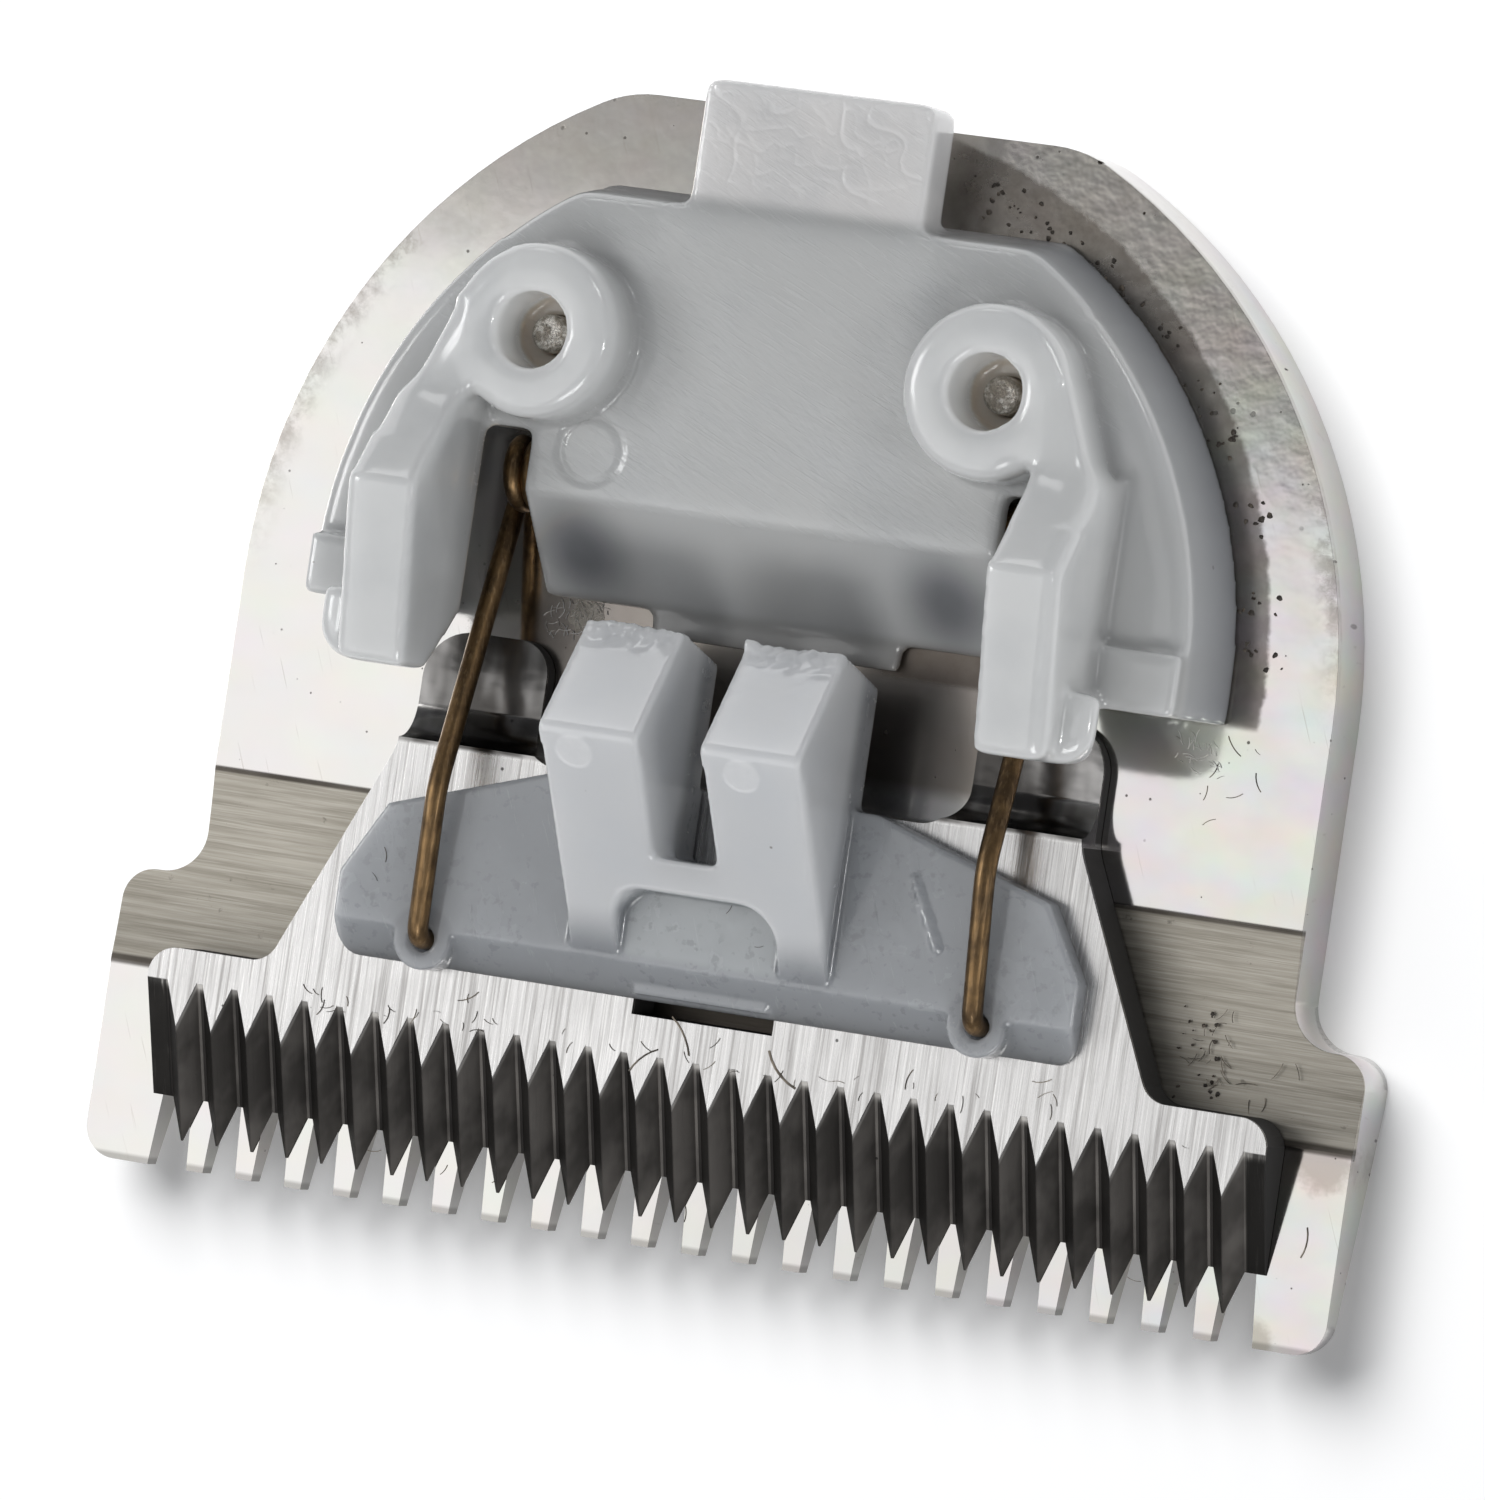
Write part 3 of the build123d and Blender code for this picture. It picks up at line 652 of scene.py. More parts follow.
@dataclass(frozen=True)
class FramePlastic:
    """Milky glossy frame moulding, with painted shade where the coils lie behind its wall, low on
    its walls and on its right flank, and painted light in its slot and holes.
    """

    body: Colour = (0.55, 0.555, 0.55)
    raised: Colour = (0.695, 0.702, 0.698)
    tab: Colour = (0.73, 0.72, 0.712)
    flow: Colour = (0.53, 0.545, 0.56)
    # Painted shade low on the walls.
    foot: Colour = (0.36, 0.375, 0.40)
    # Painted shade of the coils behind the front wall.
    shade: Colour = (0.15, 0.155, 0.17)
    # Painted light in the holes: their walls and beige floors are lightened.
    painted_lit_hole_wall: Colour = (0.86, 0.865, 0.86)
    painted_lit_hole_floor: Colour = (0.80, 0.735, 0.64)
    # Cream painted light on the slot's inner wall.
    painted_lit_slot_wall: Colour = (0.96, 0.90, 0.80)
    grime: Colour = (0.10, 0.075, 0.05)
    coil_places: tuple[Span, ...] = ((-4.75, 16.2), (4.6, 16.2))
    coil_reach: float = 0.9
    foot_top: float = 1.2
    grime_top: float = 0.35
    boss_x: float = 5.75
    boss_y: float = 21.2
    hole_radius: float = 1.0
    floor_top: float = 2.72
    raised_from: float = 3.4
    tab_front: float = 24.9
    plate_z: Span = (2.5, 2.95)
    plate_front: float = 17.2
    plate_half: float = 8.6
    wall_rear: float = 17.4
    wall_top: float = 2.65
    wall_half: float = 6.1
    slot_x: Span = (-7.6, -6.9)
    slot_y: Span = (14.6, 19.6)
    slot_top: float = 2.6
    arch_y: float = 15.2
    flank_radius: float = 10.9
    flank_top: float = 2.4
    depth: float = 1.2

    def material(self) -> bpy.types.Material:
        """Build the material.

        Returns:
            The material.
        """
        sheet = Sheet(Slot.FRAME.value)
        at = sheet.place()
        flow = sheet.noise(at.even(0.45), 3.0)
        peel = sheet.noise(at.even(3.2), 3.0)
        stroke = sheet.noise(at.stretched(2.2, 7.0, 3.0, 32.0), 3.0, 0.6)
        rub = sheet.noise(at.stretched(0.7, 12.0, 3.0, 24.0), 4.0, 0.6)
        on_tab = at.y.over(self.tab_front, 0.4)
        on_plate = at.z.between(*self.plate_z, 0.1) * at.y.over(self.plate_front, 0.4)
        on_plate = on_plate * abs(at.x).under(self.plate_half, 0.8)
        on_wall = at.y.under(self.wall_rear, 0.3) * at.z.under(self.wall_top, 0.15)
        on_wall = on_wall * abs(at.x).under(self.wall_half, 0.1)

        # Painted shade: darker towards the bottom of the walls, less on the front wall.
        low = at.z.under(self.foot_top, 2.8) * (0.9 - on_wall * 0.7)
        colour = sheet.mix(low, self.body, self.foot)
        colour = sheet.mix(at.z.over(self.raised_from, 1.2), colour, self.raised)
        colour = sheet.mix(on_tab, colour, self.tab)
        colour = sheet.mix(flow.over(0.55, 0.4) * 0.3, colour, self.flow)
        # Painted shade where the coils lie behind the front wall.
        for x, y in self.coil_places:
            near = at.distance(x, y).under(self.coil_reach, 1.5) * on_wall
            colour = sheet.mix(near * 0.85, colour, self.shade)
        caked = at.z.under(self.grime_top, 0.5) * on_wall
        colour = sheet.mix(caked * 0.7, colour, self.grime)
        # Painted light on the slot's inner wall.
        in_slot = at.x.between(*self.slot_x, 0.08) * at.y.between(*self.slot_y, 0.2)
        in_slot = in_slot * at.z.under(self.slot_top, 0.2)
        colour = sheet.mix(in_slot * 0.9, colour, self.painted_lit_slot_wall)
        # Painted shade on the right outer wall.
        painted_shade_flank = at.distance(0.0, self.arch_y).over(self.flank_radius, 0.5)
        painted_shade_flank = painted_shade_flank * at.x.over(3.0, 2.0) * at.z.under(self.flank_top, 0.4)
        colour = sheet.mix(painted_shade_flank * 0.35, colour, self.foot)
        # Painted light on the walls and floors of the holes in the bosses.
        for side in (-1.0, 1.0):
            in_hole = at.distance(side * self.boss_x, self.boss_y).under(self.hole_radius, 0.2)
            colour = sheet.mix(in_hole, colour, self.painted_lit_hole_wall)
            colour = sheet.mix(in_hole * at.z.under(self.floor_top, 0.2), colour, self.painted_lit_hole_floor)
        specks = sheet.pits(at.even(1.1), 0.06, 0.04)
        colour = sheet.mix(specks * 0.7, colour, self.grime)

        rough = 0.17 + peel * 0.08 + on_plate * rub.over(0.6, 0.1) * 0.14
        skin = stroke * 0.9 + rub.over(0.6, 0.12) * 0.45
        skin = skin * (0.4 + flow.over(0.5, 0.3) * 0.6)
        height = flow * 0.7 + skin * on_plate + stroke * on_tab * 0.2
        return sheet.plastic(colour, rough, sheet.bump(height, 0.04, 0.5), self.depth)


@dataclass(frozen=True)
class ForkPlastic:
    """Milky fork moulding: whiter prongs over a thin blue-grey base plate with rubbed marks."""

    prong: Colour = (0.655, 0.665, 0.677)
    plate: Colour = (0.325, 0.338, 0.355)
    pocket: Colour = (0.43, 0.45, 0.46)
    flow: Colour = (0.60, 0.63, 0.67)
    worn: Colour = (0.86, 0.865, 0.87)
    grime: Colour = (0.15, 0.155, 0.165)
    speck: Colour = (0.16, 0.14, 0.12)
    socket_x: float = 7.1
    socket_y: float = 6.5
    halo_radius: float = 0.8
    plate_top: float = 2.23
    pocket_half: float = 1.9
    pocket_y: Span = (6.9, 8.9)
    discs: tuple[Triple, ...] = ((-2.42, 11.52, 5.99), (1.82, 11.52, 5.99))
    disc_radius: float = 0.46
    depth: float = 2.6

    def material(self) -> bpy.types.Material:
        """Build the material.

        Returns:
            The material.
        """
        sheet = Sheet(Slot.FORK.value)
        at = sheet.place()
        flow = sheet.noise(at.even(0.6), 3.0)
        peel = sheet.noise(at.even(3.6), 3.0)
        rub = sheet.noise(at.stretched(9.0, 0.7, 2.0, -20.0), 4.0, 0.6)
        raised = at.z.over(self.plate_top + 0.5, 0.9)
        on_top = at.z.over(self.plate_top - 0.08, 0.08)

        in_pocket = abs(at.x).under(self.pocket_half, 0.3) * at.y.between(*self.pocket_y, 0.3)
        smear = flow.over(0.56, 0.3) * (1.0 - raised) * on_top
        colour = sheet.mix(in_pocket * on_top, self.plate, self.pocket)
        colour = sheet.mix(smear * 0.08, colour, self.flow)
        dust = peel.over(0.6, 0.08) * flow.over(0.48, 0.2) * (1.0 - raised)
        colour = sheet.mix(dust * 0.3, colour, self.grime)
        for side in (-1.0, 1.0):
            halo = at.distance(side * self.socket_x, self.socket_y).under(self.halo_radius, 0.2)
            colour = sheet.mix(halo * (1.0 - raised) * 0.3, colour, self.grime)
        colour = sheet.mix(raised, colour, self.prong)
        colour = sheet.mix(flow.over(0.55, 0.4) * 0.2 * raised, colour, self.flow)
        for x, y, z in self.discs:
            disc = at.distance(x, y, z).under(self.disc_radius, 0.08)
            colour = sheet.mix(disc * (0.1 + peel * 0.4), colour, self.worn)
        specks = sheet.pits(at.even(1.3), 0.06, 0.05)
        colour = sheet.mix(specks * 0.7, colour, self.speck)

        scuff = rub.over(0.66, 0.1) * (1.0 - raised)
        rough = 0.17 + peel * 0.08 + scuff * 0.16 + smear * 0.1
        normal = sheet.bump(flow * 0.7 + scuff * 0.12, 0.04, 0.5)
        return sheet.plastic(colour, rough, normal, self.depth)


@dataclass(frozen=True)
class SpringBronze:
    """Dark bronze spring wire with drawn streaks and a little grime."""

    wire: Colour = (0.225, 0.142, 0.068)
    grime: Colour = (0.07, 0.048, 0.03)
    glint: Colour = (0.5, 0.35, 0.2)

    def material(self) -> bpy.types.Material:
        """Build the material.

        Returns:
            The material.
        """
        sheet = Sheet(Slot.SPRING.value)
        at = sheet.place()
        grime = sheet.noise(at.stretched(1.4, 1.1, 1.4), 4.0, 0.65)
        drawn = sheet.noise(at.stretched(16.0, 0.8, 16.0), 3.0)
        colour = sheet.mix(grime.over(0.52, 0.3) * 0.8, self.wire, self.grime)
        colour = sheet.mix(drawn.over(0.6, 0.2) * 0.25, colour, self.glint)
        normal = sheet.bump(drawn + grime, 0.015, 0.5)
        return sheet.metal(colour, 0.3 + grime * 0.2, normal)


@dataclass(frozen=True)
class ScrewSteel:
    """Bright turned screw steel with ring marks and a scuffed tip."""

    steel: Colour = (0.66, 0.63, 0.58)
    dull: Colour = (0.24, 0.21, 0.17)

    def material(self) -> bpy.types.Material:
        """Build the material.

        Returns:
            The material.
        """
        sheet = Sheet(Slot.SCREW.value)
        at = sheet.place()
        scuff = sheet.noise(at.stretched(4.5, 4.5, 6.0), 4.0, 0.7)
        turned = sheet.noise(at.stretched(1.5, 1.5, 18.0), 3.0)
        colour = sheet.mix(scuff.over(0.48, 0.2) * 0.9, self.steel, self.dull)
        normal = sheet.bump(scuff + turned * 0.4, 0.1, 0.9)
        return sheet.metal(colour, 0.14 + scuff * 0.2, normal)


@dataclass(frozen=True)
class OldGrease:
    """Clear, lumpy, wet-looking grease."""

    tone: Colour = (0.62, 0.58, 0.50)
    dirt: Colour = (0.16, 0.13, 0.10)
    cover: float = 0.26

    def material(self) -> bpy.types.Material:
        """Build the material.

        Returns:
            The material.
        """
        sheet = Sheet("old_grease")
        lump = sheet.noise(sheet.place().even(2.6), 4.0, 0.6)
        colour = sheet.mix(lump.over(0.62, 0.2) * 0.5, self.tone, self.dirt)
        rough = 0.06 + lump * 0.08
        normal = sheet.bump(lump, 0.12, 0.6)
        return sheet.surface(
            {"Base Color": colour, "Roughness": rough, "Alpha": self.cover, "Normal": normal}
        )


@dataclass(frozen=True)
class Leavings:
    """Small bits that use leaves behind, in two tones from bit to bit.

    Attributes:
        name: The material's name.
        tone: Their main tone.
        other: The tone that some of them have.
        scale: Cycles per millimetre from one tone to the next.
        detail: Octaves of finer noise.
        edge: The noise past which the other tone shows.
        rough: Their least roughness, and how much the noise adds.
        soft: How wide the change of tone is.
    """

    name: str
    tone: Colour
    other: Colour
    scale: float
    detail: float
    edge: float
    rough: Span
    soft: float = 0.2

    def material(self) -> bpy.types.Material:
        """Build the material.

        Returns:
            The material.
        """
        sheet = Sheet(self.name)
        shift = sheet.noise(sheet.place().even(self.scale), self.detail)
        colour = sheet.mix(shift.over(self.edge, self.soft), self.tone, self.other)
        least, gain = self.rough
        return sheet.surface({"Base Color": colour, "Roughness": least + shift * gain})


CUT_HAIR = Leavings(
    "cut_hair",
    tone=(0.07, 0.058, 0.046),
    other=(0.34, 0.29, 0.23),
    scale=1.3,
    detail=2.0,
    edge=0.52,
    rough=(0.3, 0.2),
)
# Dried grease shreds; their near-white tone is partly painted glints.
DRIED_GREASE_AND_GLINTS = Leavings(
    "dried_grease",
    tone=(0.90, 0.89, 0.87),
    other=(0.22, 0.19, 0.16),
    scale=2.4,
    detail=2.0,
    edge=0.66,
    rough=(0.1, 0.15),
)
DIRT_CRUMB = Leavings(
    "dirt_crumb",
    tone=(0.045, 0.037, 0.029),
    other=(0.16, 0.13, 0.10),
    scale=3.0,
    detail=3.0,
    edge=0.56,
    rough=(0.35, 0.3),
)


# Modelling moves


class Bench:
    """Modelling moves by operator. A piece is worked in millimetres and shrunk last.

    Attributes:
        dense: Faces from which a mesh keeps its plain smooth normals.
        merge: Millimetres within which a copied solid's points are merged.
        flat: Degrees up to which a copied solid's neighbouring faces become one.
        sharp: Degrees past which an edge counts as sharp.
        ease: How far a smoothing pass takes a point towards its neighbours.
        pull: How strongly, up to 100, a large face sets the normals at its corners.
        rim: Width of the slope on either side of a round mark's edge, against its radius.
        along: Least cosine between a marked face's normal and the mark's facing.
    """

    dense: int = 40000
    merge: float = 0.0005
    flat: float = 0.6
    sharp: float = 38.0
    ease: float = 0.5
    pull: int = 100
    rim: float = 0.12
    along: float = 0.8

    @staticmethod
    def pick(obj: bpy.types.Object) -> None:
        """Select one object alone and make it active.

        Args:
            obj: The object.
        """
        bpy.ops.object.select_all(action="DESELECT")
        obj.select_set(True)
        bpy.context.view_layer.objects.active = obj

    @staticmethod
    def start(add: Callable[..., object], **settings: object) -> bpy.types.Object:
        """Add a new object by operator, with nothing else selected.

        Args:
            add: The operator.
            settings: Its settings.

        Returns:
            The new object.
        """
        bpy.ops.object.select_all(action="DESELECT")
        add(**settings)
        return bpy.context.active_object

    @staticmethod
    def unselect(mesh: bpy.types.Mesh) -> None:
        """Deselect a mesh all over."""
        for parts in (mesh.vertices, mesh.edges, mesh.polygons):
            parts.foreach_set("select", [False] * len(parts))

    @staticmethod
    @contextmanager
    def editing(obj: bpy.types.Object, mode: str = "FACE") -> Iterator[None]:
        """Hold an object in edit mode, with what is selected in it kept.

        Args:
            obj: The object.
            mode: VERT, EDGE or FACE.

        Yields:
            Nothing.
        """
        Bench.pick(obj)
        bpy.ops.object.mode_set(mode="EDIT")
        bpy.ops.mesh.select_mode(type=mode)
        yield
        bpy.ops.object.mode_set(mode="OBJECT")

    @staticmethod
    def modify(obj: bpy.types.Object, kind: str, **settings: object) -> None:
        """Add a modifier with its settings and apply it.

        Args:
            obj: The object.
            kind: The modifier's type.
            settings: Its properties.
        """
        Bench.pick(obj)
        modifier = obj.modifiers.new(kind.lower(), kind)
        for key, setting in settings.items():
            setattr(modifier, key, setting)
        bpy.ops.object.modifier_apply(modifier=modifier.name)

    @staticmethod
    def cast(node: str, name: str) -> bpy.types.Object:
        """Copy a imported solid's mesh in millimetres, merged into one clean shell.

        Args:
            node: The solid's node.
            name: The new piece's name.

        Returns:
            The copy.
        """
        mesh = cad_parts[node].data.copy()
        mesh.transform(Matrix.Scale(1 / MM, 4))
        mesh.materials.clear()
        obj = bpy.data.objects.new(name, mesh)
        bpy.context.scene.collection.objects.link(obj)
        Bench.pick(obj)
        bpy.ops.mesh.customdata_custom_splitnormals_clear()
        with Bench.editing(obj):
            bpy.ops.mesh.select_all(action="SELECT")
            bpy.ops.mesh.remove_doubles(threshold=Bench.merge)
            bpy.ops.mesh.dissolve_limited(angle_limit=math.radians(Bench.flat))
        return obj

    @staticmethod
    def soften(
        obj: bpy.types.Object, width: float, steps: int, keep: Callable[[Vector], bool]
    ) -> None:
        """Bevel the sharp outer edges that a test keeps.

        Args:
            obj: The object.
            width: The bevel's width.
            steps: Its segments.
            keep: A test of an edge's middle.
        """
        mesh = obj.data
        Bench.unselect(mesh)
        sides: dict[tuple[int, int], list[bpy.types.MeshPolygon]] = {}
        for polygon in mesh.polygons:
            for key in polygon.edge_keys:
                sides.setdefault(key, []).append(polygon)
        limit = math.cos(math.radians(Bench.sharp))
        for edge in mesh.edges:
            faces = sides.get(edge.key, [])
            if len(faces) == 2:
                first, second = faces
                convex = (second.center - first.center).dot(first.normal) < 0.0
                sharp = first.normal.dot(second.normal) < limit
                start, end = (mesh.vertices[index].co for index in edge.vertices)
                edge.select = convex and sharp and keep((start + end) / 2)
        with Bench.editing(obj, "EDGE"):
            bpy.ops.mesh.bevel(offset=width, segments=steps, clamp_overlap=True)

    @staticmethod
    def mould(obj: bpy.types.Object, voxel: float, passes: int) -> None:
        """Round a solid over as a moulding is, inside and out.

        Args:
            obj: The object.
            voxel: The remesh's cell.
            passes: Smoothing passes.
        """
        Bench.modify(obj, "REMESH", mode="VOXEL", voxel_size=voxel)
        Bench.modify(obj, "SMOOTH", factor=Bench.ease, iterations=passes)

    @staticmethod
    def melt(obj: bpy.types.Object, passes: int, inside: Callable[[Vector], bool]) -> None:
        """Round one area of a moulding over further.

        Args:
            obj: The moulding.
            passes: Smoothing passes.
            inside: A test of a point in the area.
        """
        group = obj.vertex_groups.new(name="soft")
        soft = [vertex.index for vertex in obj.data.vertices if inside(vertex.co)]
        group.add(soft, 1.0, "REPLACE")
        Bench.modify(
            obj, "SMOOTH", factor=Bench.ease, iterations=passes, vertex_group=group.name
        )
        obj.vertex_groups.clear()

    @staticmethod
    def refine(obj: bpy.types.Object, cuts: int, inside: Callable[[Vector], bool]) -> None:
        """Divide the faces in one area for finer relief.

        Args:
            obj: The moulding.
            cuts: Cuts across each face.
            inside: A test of a face's middle.
        """
        mesh = obj.data
        Bench.unselect(mesh)
        chosen = [inside(polygon.center) for polygon in mesh.polygons]
        mesh.polygons.foreach_set("select", chosen)
        with Bench.editing(obj):
            bpy.ops.mesh.subdivide(number_cuts=cuts)

    @staticmethod
    def press(
        obj: bpy.types.Object, centre: Vector, radius: float, depth: float, facing: Vector
    ) -> None:
        """Raise or sink a round mark on the faces that look one way.

        Args:
            obj: The object.
            centre: The mark's middle.
            radius: Its radius.
            depth: How far it moves along the facing, negative to sink.
            facing: The way that the marked face looks.
        """
        outer = 1.0 + Bench.rim
        marked = [
            vertex
            for vertex in obj.data.vertices
            if (vertex.co - centre).length < outer * radius
            and vertex.normal.dot(facing) > Bench.along
        ]
        for vertex in marked:
            reach = (vertex.co - centre).length / radius
            vertex.co += facing * depth * min((outer - reach) / (2 * Bench.rim), 1.0)

    @staticmethod
    def finish(
        obj: bpy.types.Object, material: bpy.types.Material, slot: Union[Slot, None], angle: float
    ) -> bpy.types.Object:
        """Shrink a piece to metres, shade it and dress it.

        Args:
            obj: The piece, in millimetres of the row's frame.
            material: Its finish.
            slot: Its slot, or None for what use leaves on it. Not used.
            angle: Degrees past which an edge stays sharp.

        Returns:
            The piece.
        """
        Bench.pick(obj)
        bpy.ops.object.transform_apply(location=True, rotation=True, scale=True)
        obj.data.transform(Matrix.Scale(MM, 4))
        bpy.ops.object.shade_smooth_by_angle(angle=math.radians(angle))
        if len(obj.data.polygons) < Bench.dense:
            Bench.modify(
                obj, "WEIGHTED_NORMAL", mode="FACE_AREA", weight=Bench.pull, keep_sharp=True
            )
        obj.data.materials.clear()
        obj.data.materials.append(material)
        return obj


# Pieces


@dataclass
class CombBlade:
    """The fixed comb plate."""

    edge_break: float = 0.035
    edge_steps: int = 2
    crease: float = 32.0

    def build(self) -> bpy.types.Object:
        """Model the plate with its edges broken and dress it.

        Returns:
            The plate.
        """
        plate = Bench.cast("comb_blade", "comb_plate")
        Bench.soften(plate, self.edge_break, self.edge_steps, lambda middle: True)
        Bench.finish(plate, CombSteel().material(), Slot.COMB, self.crease)
        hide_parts("comb_blade")
        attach(plate, Body.BASE.value)
        return plate


@dataclass
class CutterBlade:
    """The sliding cutter with its ground grooves."""

    edge_break: float = 0.05
    edge_steps: int = 2
    tooth_rear: float = 5.0
    crease: float = 32.0

    def build(self) -> bpy.types.Object:
        """Model the cutter with the edges behind its teeth broken and dress it.

        Returns:
            The cutter.
        """
        plate = Bench.cast("cutter_blade", "cutter_plate")
        rear = spot(0.0, self.tooth_rear, 0.0).y
        Bench.soften(plate, self.edge_break, self.edge_steps, lambda middle: middle.y > rear)
        Bench.finish(plate, CutterSteel().material(), Slot.CUTTER, self.crease)
        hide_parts("cutter_blade")
        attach(plate, Body.CUTTER.value)
        return plate


@dataclass
class DriveFork:
    """The moulded fork that the clipper's cam drives."""

    voxel: float = 0.065
    passes: int = 6
    crease: float = 60.0
    prong_passes: int = 34
    prong_foot: float = 2.7
    prong_rear: float = 11.6
    plate_top: float = 2.23
    seam: tuple[Span, Span] = ((5.08, 9.67), (5.85, 8.16))
    seam_blobs: int = 9
    blob_radii: tuple[float, ...] = (0.11, 0.13)
    blob_rises: tuple[float, ...] = (0.03, 0.05, 0.07)
    ridge_rise: float = 4.1
    ridge_run: float = 6.2
    disc_places: tuple[float, ...] = (-2.42, 1.82)
    disc_y: float = 11.52
    disc_z: float = 5.99
    disc_radius: float = 0.45
    disc_rise: float = 0.035
    frayed_from: float = 14.0
    fray_length: float = 0.6
    fray_height: float = 3.4
    fray_reach: float = 0.16
    fray_scales: Triple = (1.9, 5.5, 2.7)
    fray_shares: Span = (0.7, 0.45)
    burr: Triple = (0.9, 14.6, 4.2)
    burr_radius: float = 0.28
    burr_pull: Triple = (-0.05, 0.1, 0.22)

    def weld(self, fork: bpy.types.Object) -> None:
        """Leave a lumpy seam across the right of the base plate.

        Args:
            fork: The moulded fork.
        """
        start, end = (spot(*place, self.plate_top) for place in self.seam)
        for step in range(self.seam_blobs):
            centre = start.lerp(end, step / (self.seam_blobs - 1))
            radius = self.blob_radii[step % len(self.blob_radii)]
            rise = self.blob_rises[step % len(self.blob_rises)]
            Bench.press(fork, centre, radius, rise, UP)

    def fray(self, fork: bpy.types.Object) -> None:
        """Leave the prong ends ragged, with one drawn-out burr.

        Args:
            fork: The moulded fork.
        """
        burr = spot(*self.burr)
        pull = Vector(self.burr_pull)
        start = spot(0.0, self.frayed_from, self.fray_height)
        coarse, fine, upward = self.fray_scales
        much, little = self.fray_shares
        for vertex in fork.data.vertices:
            place = vertex.co
            share = min(max((place.y - start.y) / self.fray_length, 0.0), 1.0)
            share *= min(max(place.z - start.z, 0.0), 1.0)
            if share > 0.0:
                ragged = noise.noise(place * coarse) * much + noise.noise(place * fine) * little
                place.y += self.fray_reach * share * ragged
                place.z += self.fray_reach * share * noise.noise(place * upward)
            near = max(1.0 - (place - burr).length / self.burr_radius, 0.0)
            vertex.co = place + pull * near

    def build(self) -> bpy.types.Object:
        """Model the fork as a soft-edged moulding and dress it.

        Returns:
            The fork.
        """
        fork = Bench.cast("drive_fork", "fork_moulding")
        Bench.mould(fork, self.voxel, self.passes)
        foot = spot(0.0, self.prong_rear, self.prong_foot)
        Bench.melt(fork, self.prong_passes, lambda at: at.z > foot.z and at.y < foot.y)
        self.weld(fork)
        slope = Vector((0.0, -self.ridge_rise, self.ridge_run)).normalized()
        for x in self.disc_places:
            centre = spot(x, self.disc_y, self.disc_z)
            Bench.press(fork, centre, self.disc_radius, self.disc_rise, slope)
        self.fray(fork)
        Bench.finish(fork, ForkPlastic().material(), Slot.FORK, self.crease)
        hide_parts("drive_fork")
        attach(fork, Body.CUTTER.value)
        return fork


@dataclass(frozen=True)
class SoftZone:
    """A part of a moulding, the same left and right, that is rounded over further.

    Attributes:
        passes: Smoothing passes.
        x: Least and greatest distance from the middle, in the row's frame.
        y: Front and rear, in the row's frame.
        z: Its lowest point, in the row's frame.
    """

    passes: int
    x: Span
    y: Span
    z: float

    def holds(self, place: Vector) -> bool:
        """Tell whether a point lies in it."""
        across = self.x[0] < abs(place.x) < self.x[1]
        return across and self.y[0] < place.y < self.y[1] and place.z > self.z


